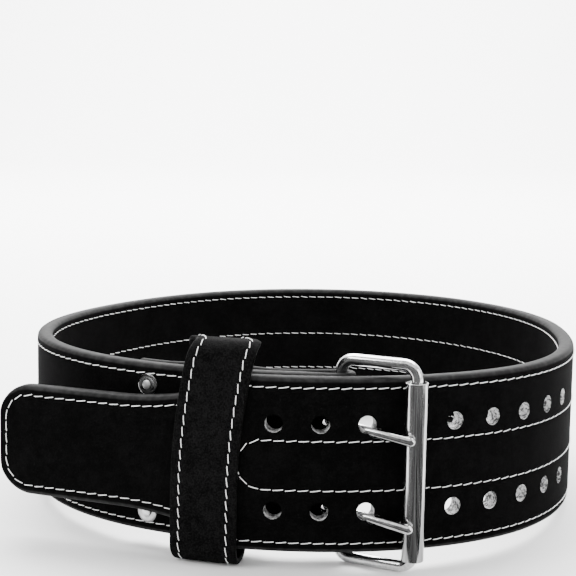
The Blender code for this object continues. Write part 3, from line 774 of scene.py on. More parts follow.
def make_strap_body():
    path = list(strap_path())
    values = {key: [section[key] for section in path] for key in path[0]}
    rail = mesh_of("belt_strap_path", values["face"], chain(len(path)), attributes=values)
    rows = section_points()
    points = [(0.01 * back, 0.01 * side, 0) for back, side, *_ in rows]
    keys = ("back", "side", "bend_in", "bend_up", "rim")
    section_values = {key: [float(row[i]) for row in rows] for i, key in enumerate(keys)}
    section = add_object("strap_section", mesh_of("strap_section", points, chain(len(rows), True),
                                                  attributes=section_values))
    strap = add_object("belt_leather", rail)
    node_modifier(strap, strap_sweep_tree(), section=section, material=SUEDE)
    strap = applied(strap)
    bpy.data.objects.remove(section)
    with_normals(strap.data)
    print("strap:", len(path), "sections,", len(strap.data.polygons), "faces")
    return strap


STRAP = make_strap_body()

# %% [markdown]
# ## Punched holes
#
# A punch leaves a round hole with a clean wall. The holes repeat along the strap in two rows, so a tree sets
# one cylinder on each point of a list and turns it to face outward. A boolean then takes the cylinders away,
# and the wall keeps the cylinders' material, which is the raw leather. The prongs have pressed a groove into
# the edge of their holes, and the fold has two slots for the prongs' eyes.

# %% The prongs' shape, which the grooves share
def prong_heights():
    middle = HOLE_MIDDLE - PRONG_SAG
    return {"prong_upper": middle + HOLE_ROW_OFFSET, "prong_lower": middle - HOLE_ROW_OFFSET}


def shank_point(distance, height):
    """A point on the shank's middle, that far from where it leaves the eye."""
    angle = BUCKLE.shank_angle
    right = -EYE_RADIUS * sin(angle) + distance * cos(angle)
    out = EYE_RADIUS * cos(angle) + distance * sin(angle)
    return BUCKLE.at(right, out, height - PRONG_DROOP * distance)


# %% One tree for anything round that is swept along a path
def wire_tree():
    tree, inputs = new_geometry_tree("round_wire", (("Thickness", "Float"), ("Sides", "Int"),
                                                    ("Material", "Material")))
    rail = tree.geo("MeshToCurve", Mesh=inputs["Geometry"])
    rail = tree.geo("SetCurveRadius", Curve=rail, Radius=named(tree, "share"))
    profile = tree.geo("CurvePrimitiveCircle", Resolution=inputs["Sides"], Radius=inputs["Thickness"])
    scale = tree.geo("InputRadius")
    tube = tree.geo("CurveToMesh", Curve=rail, Profile_Curve=profile, Scale=scale, Fill_Caps=True)
    return finish_geometry_tree(tree, tree.geo("SetShadeSmooth", Geometry=tube), inputs["Material"])


WIRE_TREE = wire_tree()


def make_wire(name, points, thickness, sides, material, closed=False, shares=None):
    shares = shares or [1.0] * len(points)
    data = mesh_of(name, points, chain(len(points), closed), attributes={"share": shares})
    wire = add_object(name, data)
    node_modifier(wire, WIRE_TREE, thickness=thickness, sides=sides, material=material)
    return applied(wire)


# %% One tree for what is set on points and turned to face outward
def setting_tree():
    tree, inputs = new_geometry_tree("set_on_points", (("Shape", "Object"), ("Material", "Material")))
    shape = tree.geo("ObjectInfo", Object=inputs["Shape"]).output("Geometry")
    points = tree.geo("MeshToPoints", Mesh=inputs["Geometry"])
    turn = tree.node("FunctionNodeAlignRotationToVector", {"axis": "Z"},
                     {"Vector": named(tree, "outward", "FLOAT_VECTOR")})
    placed = tree.geo("InstanceOnPoints", Points=points, Instance=shape, Rotation=turn)
    return finish_geometry_tree(tree, placed, inputs["Material"])


SETTING_TREE = setting_tree()


def set_on_points(name, shape, places, material):
    """Copies of a shape at (point, outward) pairs, as one mesh. The shape is used up."""
    attributes = {"outward": [tuple(outward) for _, outward in places]}
    obj = add_object(name, mesh_of(name, [point for point, _ in places], attributes=attributes))
    node_modifier(obj, SETTING_TREE, shape=shape, material=material)
    obj = applied(obj)
    bpy.data.objects.remove(shape)
    return obj


# %% The cutters
HOLE_RADIUS = 0.0052
HOLE_PITCH = 0.0267
PRONG_HOLE_PLACE = 0.0123
HOLES_TO_TIP = 2
HOLES_TO_BODY = 6
HOLE_SIDES = 40
SLOT_HEIGHT = 0.0077
SLOT_REACH = 0.0110
SLOT_STEPS = 16
GROOVE_SIDES = 20


def from_bmesh(bm, name, *materials):
    data = bpy.data.meshes.new(name)
    bm.to_mesh(data)
    bm.free()
    return add_object(name, data, *materials)


def cylinder(name, radius, length, sides):
    bm = bmesh.new()
    bmesh.ops.create_cone(bm, cap_ends=True, segments=sides, radius1=radius, radius2=radius, depth=length)
    return from_bmesh(bm, name)


def hole_places():
    first = RING.length - PRONG_HOLE_PLACE
    places = [first]
    for count, direction in ((HOLES_TO_TIP, 1), (HOLES_TO_BODY, -1)):
        place = first
        for _ in range(count):
            place += direction * HOLE_PITCH / (1 + lap(place) / RING_RADIUS)
            places.append(place)
    return places


def hole_cutter():
    spots = []
    for place in hole_places():
        for side in (-1, 1):
            middle = RING.at(place, lap(place) - STRAP_THICK / 2, HOLE_MIDDLE + side * HOLE_ROW_OFFSET)
            spots.append((middle, RING.outward(place)))
    punch = cylinder("punch", HOLE_RADIUS, STRAP_THICK + RIVET_PROUD, HOLE_SIDES)
    return set_on_points("hole_cutter", punch, spots, RAW_LEATHER)


def slot_cutter(height):
    """A slot through the fold, round at its inner end."""
    radius = SLOT_HEIGHT / 2
    beyond = FOLD_RADIUS + RIVET_PROUD
    outline = [(beyond, -radius), (beyond, radius)]
    for i in range(SLOT_STEPS + 1):
        turn = pi / 2 + pi * i / SLOT_STEPS
        outline.append((radius - SLOT_REACH + radius * cos(turn), radius * sin(turn)))
    bm = bmesh.new()
    face = bm.faces.new([bm.verts.new(BUCKLE.at(right, -beyond, height + up)) for right, up in outline])
    grown = bmesh.ops.extrude_face_region(bm, geom=[face])
    raised = [v for v in grown["geom"] if isinstance(v, bmesh.types.BMVert)]
    bmesh.ops.translate(bm, verts=raised, vec=BUCKLE.out * (beyond + FOLD_RADIUS + RIVET_PROUD / 2))
    bmesh.ops.recalc_face_normals(bm, faces=bm.faces)
    return from_bmesh(bm, "slot_cutter", RAW_LEATHER)


def groove_cutter(height):
    points = [shank_point(distance, height) for distance in (EYE_RADIUS, BUCKLE.shank_length)]
    return make_wire("groove_cutter", points, PRONG_RADIUS + SEAT_GAP, GROOVE_SIDES, RAW_LEATHER)


# %% Punch the strap
def punched(strap):
    cutters = [hole_cutter()]
    for height in prong_heights().values():
        cutters += [slot_cutter(height), groove_cutter(height)]
    for cutter in cutters:
        cutter.hide_render = True
        cut = strap.modifiers.new("punch", "BOOLEAN")
        cut.object = cutter
        cut.operation = "DIFFERENCE"
        cut.solver = "EXACT"
        cut.material_mode = "TRANSFER"
    strap = applied(strap)
    for cutter in cutters:
        bpy.data.objects.remove(cutter)
    return strap


def give_values(strap, swept):
    """Values for the suede: read from the nearest point of the sweep, and the height from the middle."""
    keys = ("rim", "edge_row", "inner_row")
    source = {key: [item.value for item in swept.attributes[key].data] for key in keys}
    tree = KDTree(len(swept.vertices))
    for i, vertex in enumerate(swept.vertices):
        tree.insert(vertex.co, i)
    tree.balance()
    nearest = [tree.find(vertex.co)[1] for vertex in strap.data.vertices]
    for key in (*keys, "thick", "half", "edge_radius", "back", "side", "bend_in", "bend_up", "across", "face",
                "share"):
        if key in strap.data.attributes:
            strap.data.attributes.remove(strap.data.attributes[key])
    for key in keys:
        values = [source[key][i] for i in nearest]
        strap.data.attributes.new(key, "FLOAT", "POINT").data.foreach_set("value", values)
    heights = [vertex.co.z - MIDDLE for vertex in strap.data.vertices]
    strap.data.attributes.new("height", "FLOAT", "POINT").data.foreach_set("value", heights)


swept_mesh = STRAP.data.copy()
STRAP = punched(STRAP)
give_values(STRAP, swept_mesh)
shade_by_angle(STRAP, 35)
into_pose(STRAP)
print("strap with", 2 * len(hole_places()), "holes:", len(STRAP.data.polygons), "faces,",
      [material.name for material in STRAP.data.materials])

# %% [markdown]
# ## The keeper loop
#
# The keeper is a thinner strip, closed in a loop round both layers. It stands on the ground under its own
# weight, so it hangs lower than the strap, and its outer run leans towards the buckle. It is a loop of
# sections too, but its width follows the curve of the waist, so a short loft places its points directly.

# %% Loft of the keeper
KEEPER_EDGE_RADIUS = 0.0013
KEEPER_WIDTH_STEPS = 12
KEEPER_BEND_STEPS = 10
KEEPER_SIDE_STEP = 0.005
KEEPER_CORNER_STEPS = 4
KEEPER_ROW_MARGIN = 0.0054
KEEPER_ROW = KEEPER_WIDTH / 2 - KEEPER_ROW_MARGIN   # its stitch rows, from its middle


def keeper_outline():
    """Once round the loop: (outward, height, direction of the loop's outside) of its inner surface."""
    low_out = -STRAP_THICK - SEAT_GAP
    high_out = LAP_OFFSET + SEAT_GAP
    radius = KEEPER_BEND_RADIUS
    middle_out = (low_out + high_out) / 2
    half_out = (high_out - low_out) / 2 - radius
    half_height = KEEPER_INNER_HEIGHT / 2 - radius
    outline = []
    for quarter, (side_out, side_height) in enumerate(((1, 1), (-1, 1), (-1, -1), (1, -1))):
        for i in range(KEEPER_BEND_STEPS + 1):
            turn = pi / 2 * (quarter + i / KEEPER_BEND_STEPS)
            outline.append((middle_out + side_out * half_out + radius * cos(turn),
                            side_height * half_height + radius * sin(turn) + MIDDLE, turn))
    return outline


def keeper_sections():
    """The outline with points added on its long upright sides."""
    corners = keeper_outline()
    rows = []
    for current, following in zip(corners, corners[1:] + corners[:1]):
        rows.append(current)
        gap = abs(following[1] - current[1])
        if gap > 2 * KEEPER_SIDE_STEP and abs(following[0] - current[0]) < SEAT_GAP:
            count = ceil(gap / KEEPER_SIDE_STEP)
            for i in range(1, count):
                share = i / count
                rows.append((current[0], current[1] + (following[1] - current[1]) * share, current[2]))
    return rows


def keeper_point(row, across, depth, rise=0.0):
    """A point of the loop: along its width, and out of its inner surface."""
    out, height, turn = row
    out += depth * cos(turn)
    height += depth * sin(turn)
    share = max(0.0, (height - KEEPER_LEAN_FROM) / (STRAP_WIDTH - KEEPER_LEAN_FROM))
    lean = KEEPER_LEAN * share ** 2 * eased((out + STRAP_THICK) / LAP_OFFSET)
    return RING.at(KEEPER_PLACE + across - lean, out, height + rise)


def keeper_profile():
    """(across, depth, rim): the rounded section of the strip."""
    radius = KEEPER_EDGE_RADIUS
    half = KEEPER_WIDTH / 2
    profile = [((half - radius) * share, 0.0, 0.0) for share in evenly(-1, 1, KEEPER_WIDTH_STEPS)]
    for start, depth in ((-90, radius), (0, KEEPER_THICK - radius)):
        for turn in map(radians, evenly(start, start + 90, KEEPER_CORNER_STEPS)[1:]):
            profile.append((half - radius + radius * cos(turn), depth + radius * sin(turn), 1.0))
    back = [(-across, KEEPER_THICK - depth, rim) for across, depth, rim in profile]
    return profile[:-1] + back[:-1]


def make_keeper():
    profile = keeper_profile()
    rows = keeper_sections()
    points = [keeper_point(row, across, depth) for row in rows for across, depth, _ in profile]
    rim = [value for _ in rows for _, _, value in profile]
    faces = loft_faces(len(rows), len(profile), True, True)
    data = mesh_of("keeper", points, faces=faces, attributes={"rim": rim})
    return add_object("keeper", with_normals(data), KEEPER_SUEDE)


def make_keeper_suede():
    """The keeper is the looser split side of the hide: greyer, with a coarser nap."""
    material, tree, shader = new_material("keeper_suede", Specular_IOR_Level=0.03)
    nap = grain(tree, NAP_SIZE, 5.0)
    patches = grain(tree, 0.009, 3.0)
    mottle = (nap * 0.75 + patches * 0.25).ramp(0.38, 0.66)
    rim = attribute(tree, "rim")
    feed(tree, shader, Base_Color=mixed(tree, mottle, grey(0.0008), grey(0.0060)), Roughness=0.95 - rim * 0.2)
    relief(tree, shader, nap * 0.6 + patches * 0.4, NAP_DEPTH)
    return material


KEEPER_SUEDE = make_keeper_suede()
KEEPER = into_pose(make_keeper())
lowest = min(vertex.co.z for vertex in KEEPER.data.vertices)
KEEPER_RISE = (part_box("keeper_loop")[0].z - lowest) / cos(TILT)
KEEPER.data.transform(Matrix.Translation(LEAN_BACK @ Vector((0, 0, KEEPER_RISE))))
shade_by_angle(KEEPER, 50)
print("keeper:", len(KEEPER.data.polygons), "faces, moved up by", round(KEEPER_RISE * 1000, 2), "mm")

# %% [markdown]
# ## Stitches
#
# A saddle machine sews thick leather with waxed thread. Each stitch is a short hump of thread that comes up
# through one hole and dives into the next, and because the awl cuts a slanted hole, each one lies a little
# askew. A row is a line of points with the direction outward at each. The tree walks along the row by the
# pitch, sets one hump at each step, turns it to the row and to the surface, and adds a little play.

# %% The stitch tree
STITCH_PLAY = 0.05            # radians, how unevenly the stitches lie


def stitch_tree():
    tree, inputs = new_geometry_tree("stitch_row", (
        ("Pitch", "Float"), ("Length", "Float"), ("Thread", "Float"), ("Slant", "Float"), ("Seed", "Int"),
        ("Material", "Material")))
    length, thread = inputs["Length"], inputs["Thread"]
    half = length * 0.5

    def at(x, z):
        return tree.node("ShaderNodeCombineXYZ", inputs={"X": x, "Z": z})

    hump = tree.geo("CurvePrimitiveBezierSegment", {"mode": "OFFSET"}, Resolution=6,
                    Start=at(half * -1.0, thread * -0.75), Start_Handle=at(length * 0.10, thread * 1.3),
                    End_Handle=at(length * -0.10, thread * 1.3), End=at(half, thread * -0.75))
    circle = tree.geo("CurvePrimitiveCircle", Resolution=6, Radius=thread * 0.5)
    stitch = tree.geo("CurveToMesh", Curve=hump, Profile_Curve=circle, Fill_Caps=True)
    row = tree.geo("MeshToCurve", Mesh=inputs["Geometry"])
    row = tree.geo("ResampleCurve", {"mode": "LENGTH"}, Curve=row, Length=inputs["Pitch"])
    outward = named(tree, "outward", "FLOAT_VECTOR")
    turn = tree.node("FunctionNodeAxesToRotation", {"primary_axis": "Z", "secondary_axis": "X"},
                     {"Primary Axis": outward, "Secondary Axis": tree.geo("InputTangent")})
    play = tree.node("FunctionNodeRandomValue", {"data_type": "FLOAT"},
                     {2: -STITCH_PLAY, 3: STITCH_PLAY, "Seed": inputs["Seed"]}, output=1)
    twist = tree.node("ShaderNodeCombineXYZ", inputs={"Z": inputs["Slant"] + play, "Y": play * 0.4})
    twist = tree.node("FunctionNodeEulerToRotation", inputs={"Euler": twist})
    turn = tree.node("FunctionNodeRotateRotation", {"rotation_space": "LOCAL"},
                     {"Rotation": turn, "Rotate By": twist})
    sewn = tree.geo("InstanceOnPoints", Points=row, Instance=stitch, Rotation=turn)
    smooth = tree.geo("SetShadeSmooth", Geometry=tree.geo("RealizeInstances", Geometry=sewn))
    return finish_geometry_tree(tree, smooth, inputs["Material"])


STITCH_TREE = stitch_tree()
seed_count = 0


def sew(name, rows, pitch, length, thread, slant):
    """Stitches along rows, each a list of (point, outward) pairs, as one mesh."""
    global seed_count
    seed_count += 1
    points, outward, edges = [], [], []
    for row in rows:
        edges += [(len(points) + a, len(points) + b) for a, b in chain(len(row))]
        points += [point for point, _ in row]
        outward += [tuple(direction) for _, direction in row]
    obj = add_object(name, mesh_of(name, points, edges, attributes={"outward": outward}))
    node_modifier(obj, STITCH_TREE, pitch=pitch, length=length, thread=thread, slant=slant, seed=seed_count,
                  material=THREAD)
    obj = into_pose(applied(obj))
    print(name, "has", len(obj.data.polygons), "faces")
    return obj


# %% Rows on the strap
ROW_STEP = 0.004
STRAP_PITCH = 0.0071
STRAP_STITCH = 0.0058
STRAP_SLANT = 0.10            # radians
THREAD_THICK = 0.00050
INSIDE_STITCH = STRAP_STITCH * 0.92   # a little shorter and thinner than outside
INSIDE_THREAD = THREAD_THICK * 0.85
THREAD_LIFT = 0.0002          # of the thread's middle over the leather
ROW_START = 0.016             # the outside rows end at the fold
INSIDE_START = FLAP_LENGTH - 0.006   # the inside ones start under the flap
INSIDE_END = RING.length - 0.012
TIP_TURN_STEPS = 10
ROW_HEIGHTS = (EDGE_ROW, INNER_ROW, -INNER_ROW, -EDGE_ROW)


def row_on(route, face=1):
    """A row by its (place, height from the middle) pairs, on the outer face, or on the inner with face -1."""
    out = THREAD_LIFT if face > 0 else -STRAP_THICK - THREAD_LIFT
    return [(outer_face(place, out, MIDDLE + height), face_outward(place) * face) for place, height in route]


def straight(start, end, height):
    return [(place, height) for place in spaced(start, end, ROW_STEP)]


def turned_back(upper, corner, flat, bend):
    """The upper row, round a corner of that bend, and the mirror image of both back along the lower row."""
    turns = evenly(0, pi / 2, TIP_TURN_STEPS)[1:]
    upper = upper + [(corner + bend * sin(turn), flat + bend * cos(turn)) for turn in turns]
    return upper + [(place, -height) for place, height in reversed(upper)]


def strap_rows():
    shoulder, corner = RING.length + SHOULDER_START, STRAP_END - TAB_CORNER_RADIUS
    edge = [(place, edge_row(place)) for place in spaced(shoulder, corner, ROW_STEP)]
    tip = turned_back(edge, corner, TAB_WIDTH / 2 - TAB_CORNER_RADIUS, TAB_CORNER_RADIUS - TAB_ROW_MARGIN)
    inner = turned_back(straight(ROW_START, INNER_END, INNER_ROW), INNER_END, 0, INNER_ROW)
    edges = [straight(ROW_START, shoulder, side * EDGE_ROW) for side in (-1, 1)]
    inside = [straight(INSIDE_START, INSIDE_END, height) for height in ROW_HEIGHTS]
    return ([row_on(route) for route in (inner, tip, *edges)],
            [row_on(route, -1) for route in (tip, *inside)])


OUTSIDE_ROWS, INSIDE_ROWS = strap_rows()
STITCHES = [
    sew("stitches_outside", OUTSIDE_ROWS, STRAP_PITCH, STRAP_STITCH, THREAD_THICK, STRAP_SLANT),
    sew("stitches_inside", INSIDE_ROWS, STRAP_PITCH, INSIDE_STITCH, INSIDE_THREAD, -STRAP_SLANT),
]

# %% [markdown]
# ## The flap's own seams
#
# The folded end is sewn down by hand with a heavier stitch: four rows that waver a little, and one row
# across its end.

# %% Rows on the flap
FLAP_PITCH = 0.0078
FLAP_STITCH = 0.0066
FLAP_SLANT = 0.12
FLAP_THREAD = 0.0009
FLAP_WAVE = 0.0007
FLAP_WAVE_LENGTH = 0.031
FLAP_END_ROW = FLAP_LENGTH - 0.0045
FLAP_ROW_START = 0.014


def flap_face(place, height):
    point, near = (RING.at(where, -flap_depth(where) - FLAP_THICK - THREAD_LIFT, height)
                   for where in (place, place - 0.001))
    along = (point - near).normalized()
    return point, Vector((along.y, -along.x, 0))


def flap_rows():
    rows = []
    for number, height in enumerate(ROW_HEIGHTS):
        def wave(place):
            return FLAP_WAVE * sin(2 * pi * place / FLAP_WAVE_LENGTH + 2 * number)

        rows.append([flap_face(place, MIDDLE + height + wave(place))
                     for place in spaced(FLAP_ROW_START, FLAP_END_ROW, ROW_STEP)])
    heights = spaced(MIDDLE - EDGE_ROW, MIDDLE + EDGE_ROW, ROW_STEP)
    return rows + [[flap_face(FLAP_END_ROW, height) for height in heights]]


STITCHES.append(sew("stitches_flap", flap_rows(), FLAP_PITCH, FLAP_STITCH, FLAP_THREAD, FLAP_SLANT))

# %% Rows on the keeper
KEEPER_PITCH = 0.0067
KEEPER_STITCH = 0.0053
KEEPER_SLANT = 0.16


def keeper_rows():
    rows = []
    outline = keeper_sections()
    for side in (-1, 1):
        row = []
        for section in outline + outline[:1]:
            point = keeper_point(section, side * KEEPER_ROW, KEEPER_THICK + THREAD_LIFT, KEEPER_RISE)
            foot = keeper_point(section, side * KEEPER_ROW, KEEPER_THICK / 2, KEEPER_RISE)
            row.append((point, (point - foot).normalized()))
        rows.append(row)
    return rows


STITCHES.append(sew("stitches_keeper", keeper_rows(), KEEPER_PITCH, KEEPER_STITCH, THREAD_THICK,
                    KEEPER_SLANT))

# %% [markdown]
# ## The buckle
#
# The frame is one bent wire, so it is a circle swept along a closed path with round corners. Each prong is a
# wire too: its eye turns round the base bar and its shank ends in a rounded tip. The roller is sheet metal
# rolled round the far bar, with an open seam on the side of the strap.

# %% Frame and prongs
FRAME_BEND_STEPS = 12
WIRE_SIDES = 32
EYE_STEPS = 40
PRONG_SIDES = 24
PRONG_TIP_STEPS = 7
PRONG_TIP_TURN = 84           # degrees, so that the tip ends in a small flat


def frame_path():
    towards = (BUCKLE.roller - BUCKLE.bar).normalized()
    radius = FRAME_BEND_RADIUS
    corners = ((FRAME_REACH - radius, FRAME_HEIGHT - radius, 0), (radius, FRAME_HEIGHT - radius, 90),
               (radius, radius, 180), (FRAME_REACH - radius, radius, 270))
    points = []
    for along, height, start in corners:
        for turn in map(radians, evenly(start, start + 90, FRAME_BEND_STEPS)):
            plan = BUCKLE.bar + towards * (along + radius * cos(turn))
            points.append(plan + Vector((0, 0, FRAME_LOW + height + radius * sin(turn))))
    return points


def prong_path(height):
    points = []
    eye_start = BUCKLE.shank_angle + pi / 2 + radians(EYE_WRAP)
    for i in range(EYE_STEPS):
        turn = eye_start - radians(EYE_WRAP) * i / EYE_STEPS
        points.append(BUCKLE.at(EYE_RADIUS * cos(turn), EYE_RADIUS * sin(turn), height))
    points += [shank_point(0, height), shank_point(BUCKLE.shank_length / 2, height)]
    shares = [1.0] * len(points)
    for turn in evenly(0, radians(PRONG_TIP_TURN), PRONG_TIP_STEPS):
        points.append(shank_point(BUCKLE.shank_length - PRONG_RADIUS * (1 - sin(turn)), height))
        shares.append(cos(turn))
    return points, shares


FRAME = into_pose(make_wire("frame_wire", frame_path(), WIRE_RADIUS, WIRE_SIDES, CHROME, closed=True))
PRONGS = {}
for prong_name, prong_height in prong_heights().items():
    prong_points, prong_shares = prong_path(prong_height)
    PRONGS[prong_name] = into_pose(make_wire(prong_name + "_wire", prong_points, PRONG_RADIUS, PRONG_SIDES,
                                             CHROME, shares=prong_shares))
for wire in (FRAME, *PRONGS.values()):
    shade_by_angle(wire, 50)
print("frame:", len(FRAME.data.polygons), "faces; prongs:", [len(p.data.polygons) for p in PRONGS.values()])

# %% Roller
ROLLER_SEAM = 0.0006
ROLLER_SIDES = 64
ROLLER_LIP = 0.0003


def make_roller():
    """The rolled sheet's section, lofted upright, with slightly turned-in ends."""
    inner = ROLLER_RADIUS - ROLLER_WALL
    seam = ROLLER_SEAM / 2 / ROLLER_RADIUS
    inward = atan2(-BUCKLE.out.y, -BUCKLE.out.x)
    turns = [inward + seam + (2 * pi - 2 * seam) * i / ROLLER_SIDES for i in range(ROLLER_SIDES + 1)]
    foot = roller_foot()
    levels = ((0, ROLLER_LIP), (ROLLER_LIP, 0), (ROLLER_LENGTH - ROLLER_LIP, 0), (ROLLER_LENGTH, ROLLER_LIP))
    sections = []
    for height, pinch in levels:
        ring = [(ROLLER_RADIUS - pinch, turn) for turn in turns]
        ring += [(inner + pinch * 0.5, turn) for turn in reversed(turns)]
        sections.append([BUCKLE.roller + Vector((radius * cos(turn), radius * sin(turn), foot + height))
                         for radius, turn in ring])
    count = len(sections[0])
    faces = loft_faces(len(sections), count, False, True)
    top = (len(sections) - 1) * count
    for a in range(ROLLER_SIDES):
        b = count - 1 - a
        faces += [(a, b, b - 1, a + 1), (top + a, top + a + 1, top + b - 1, top + b)]
    data = mesh_of("roller_sheet", [point for section in sections for point in section], faces=faces)
    roller = add_object("roller_sheet", with_normals(data), ROLLER_LINES_AND_PAINTED_STREAKS)
    shade_by_angle(roller, 30)
    return roller


ROLLER = into_pose(make_roller())
print("roller:", len(ROLLER.data.polygons), "faces")

# %% [markdown]
# ## Rivets
#
# A rivet goes through from inside. Its flat head stays inside, and outside its end is peened to a small dome
# over a burr, which is a round washer. Both are turned shapes, set on six points by the same tree as the
# punched holes.

# %% Turned shapes on six points
RIVET_SHANK_RADIUS = 0.0020
RIVET_HEAD_THICK = 0.0013
RIVET_PEEN_RADIUS = 0.0028
RIVET_PEEN_HEIGHT = 0.0010
BURR_RADIUS = 0.0066
BURR_THICK = 0.0010
SHANK_SHOWN = 0.006           # of the shank, into the leather
HEAD_EDGE, HEAD_DOME = 0.0006, 0.0002
PEEN_EDGE, PEEN_DOME = 0.0004, 0.0003
TURNED_SIDES = 40


def turned_shape(name, profile, closed=False):
    """A profile of (radius, height) pairs turned round Z."""
    points = []
    for turn in evenly(0, 2 * pi, TURNED_SIDES)[:-1]:
        points += [(radius * cos(turn), radius * sin(turn), height) for radius, height in profile]
    faces = loft_faces(TURNED_SIDES, len(profile), True, closed)
    return add_object(name, with_normals(mesh_of(name, points, faces=faces), merge=True))


def rivet_spots(out):
    for place in (RIVET_NEAR_PLACE, RIVET_FAR_PLACE):
        for row in (1, 0, -1):
            yield RING.at(place, out(place), MIDDLE + row * RIVET_ROW_OFFSET), RING.outward(place)


def rounded_disc(radius, height, edge, dome, steps=5):
    """Half a section of a disc from its middle outward: domed top, rounded edge."""
    thick = height - dome
    profile = [(radius * share * 0.9, thick + dome * (1 - share ** 2)) for share in (0, 0.35, 0.65, 0.85)]
    for i in range(steps + 1):
        turn = pi / 2 * (1 - i / steps)
        profile.append((radius - edge + edge * cos(turn), thick - edge + edge * sin(turn)))
    return profile


def make_rivets():
    head = [(radius, -height) for radius, height in rounded_disc(RIVET_HEAD_RADIUS, RIVET_HEAD_THICK,
                                                                 HEAD_EDGE, HEAD_DOME)]
    shank = [(RIVET_SHANK_RADIUS, 0), (RIVET_SHANK_RADIUS, SHANK_SHOWN), (0, SHANK_SHOWN)]
    head += [(RIVET_HEAD_RADIUS, 0)] + shank
    peen = [(radius, -height) for radius, height in reversed(shank)] + [(RIVET_PEEN_RADIUS, 0)]
    peen += reversed(rounded_disc(RIVET_PEEN_RADIUS, RIVET_PEEN_HEIGHT, PEEN_EDGE, PEEN_DOME))
    bore = RIVET_SHANK_RADIUS + SEAT_GAP
    burr = [(bore, 0), (bore, BURR_THICK * 0.8)]
    burr += [(BURR_RADIUS * wide, BURR_THICK * high)
             for wide, high in ((0.62, 0.62), (0.82, 1), (0.94, 0.86), (1, 0.4), (1, 0))]
    kinds = (
        ("rivet_heads", head, False, lambda place: -flap_depth(place) - FLAP_THICK - SEAT_GAP, RIVET_NICKEL),
        ("rivet_peens", peen, False, lambda place: SEAT_GAP + BURR_THICK + SEAT_GAP, RIVET_NICKEL),
        ("burrs", burr, True, lambda place: SEAT_GAP, BURR_STEEL))
    for name, profile, closed, out, material in kinds:
        shape = turned_shape(name + "_shape", profile, closed)
        rivets = into_pose(set_on_points(name, shape, list(rivet_spots(out)), material))
        shade_by_angle(rivets, 40)
        yield rivets


RIVET_HEADS, RIVET_PEENS, BURRS = make_rivets()
print("rivets:", len(RIVET_HEADS.data.polygons), len(RIVET_PEENS.data.polygons), len(BURRS.data.polygons))

# %% [markdown]
# ## What each piece stands for
#
# The solids stay in the scene, hidden. Each one gives its place in the picture to the finer piece made here.

# %% Replace the plain solids
RIVETS = [f"rivet_{column}_{row}" for column in ("near", "far") for row in ("upper", "middle", "lower")]
BURR_NODES = [name.replace("rivet", "burr") for name in RIVETS]
STANDS_FOR = (
    (STRAP, "suede", ["belt_strap"]),
    (KEEPER, "keeper_suede", ["keeper_loop"]),
    (FRAME, "chrome", ["buckle_frame"]),
    (ROLLER, "roller_chrome", ["buckle_roller"]),
    (PRONGS["prong_upper"], "chrome", ["prong_upper"]),
    (PRONGS["prong_lower"], "chrome", ["prong_lower"]),
    (RIVET_HEADS, "rivet_steel", RIVETS),
    (BURRS, "burr_steel", BURR_NODES),
)
for piece, finish_slot, nodes in STANDS_FOR:
    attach(piece, "root")
    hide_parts(*nodes)
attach(RIVET_PEENS, "root")
for stitches in STITCHES:
    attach(stitches, "root")
print("pieces:", len(STANDS_FOR) + 1 + len(STITCHES))

# %% [markdown]
# ## The studio
#
# The photograph was taken on white, slightly from above, with a long lens. The camera was found by matching
# the stitch rows, the rims and the holes to the picture. It belongs to the level drawing, so the pose turns
# it too, and it stays well above the floor.

# %% Camera
CAMERA_PLACE = Vector((-0.0166, -0.9543, 0.2499))
CAMERA_PITCH = 0.1286         # radians, looking down on the level belt
CAMERA_ROLL = 0.01721         # radians, anticlockwise
FOCAL_PIXELS = 1374.0
PICTURE_SIDE = 576
SENSOR = 36.0


def add_camera():
    ahead = Vector((0, cos(CAMERA_PITCH), -sin(CAMERA_PITCH)))
    side = Vector((1, 0, 0))
    upright = side.cross(ahead)
    right = side * cos(CAMERA_ROLL) + upright * sin(CAMERA_ROLL)
    up = upright * cos(CAMERA_ROLL) - side * sin(CAMERA_ROLL)
    level = Matrix((right, up, -ahead)).transposed().to_4x4()
    level.translation = CAMERA_PLACE
    data = bpy.data.cameras.new("camera")
    data.sensor_width = SENSOR
    data.lens = FOCAL_PIXELS / PICTURE_SIDE * SENSOR
    data.clip_start = 0.05
    data.clip_end = 20
    camera = bpy.data.objects.new("camera", data)
    camera.matrix_world = POSE @ level
    bpy.context.scene.collection.objects.link(camera)
    bpy.context.scene.camera = camera
    print("camera at", [round(v, 3) for v in camera.matrix_world.translation], "lens", round(data.lens, 1))


add_camera()

# %% [markdown]
# ## Paper, card and lamps
#
# The belt stands on white paper that curves up behind it, under a large soft lamp. Chrome that mirrors only
# white paper would look like white plastic, so a dark, streaked card stands in front and on the left, with a
# foot on the floor. It is seen in reflections only: it casts no shadow, and the camera looks through it.

# %% Floor, backdrop and lights
FLOOR_REACH = 3.0
FLOOR_SIDE = FLOOR_REACH * 1.5
BACKDROP_TURN = 0.8           # radius of the paper's curve up to the wall
BACKDROP_TOP = 3.0
TURN_STEPS = 12
CARD_REACH = 0.62             # to the left, to the right and to the front
CARD_SIDE_END = 0.25          # where the left card ends at the back
CARD_LOW = 0.002
CARD_TOP = 0.55
FOOT_LEFT = -0.11
FOOT_START = -0.27
FOOT_EDGE = -0.215            # the card on the floor ends in front of the buckle
ROOM_STRENGTH = 1.4


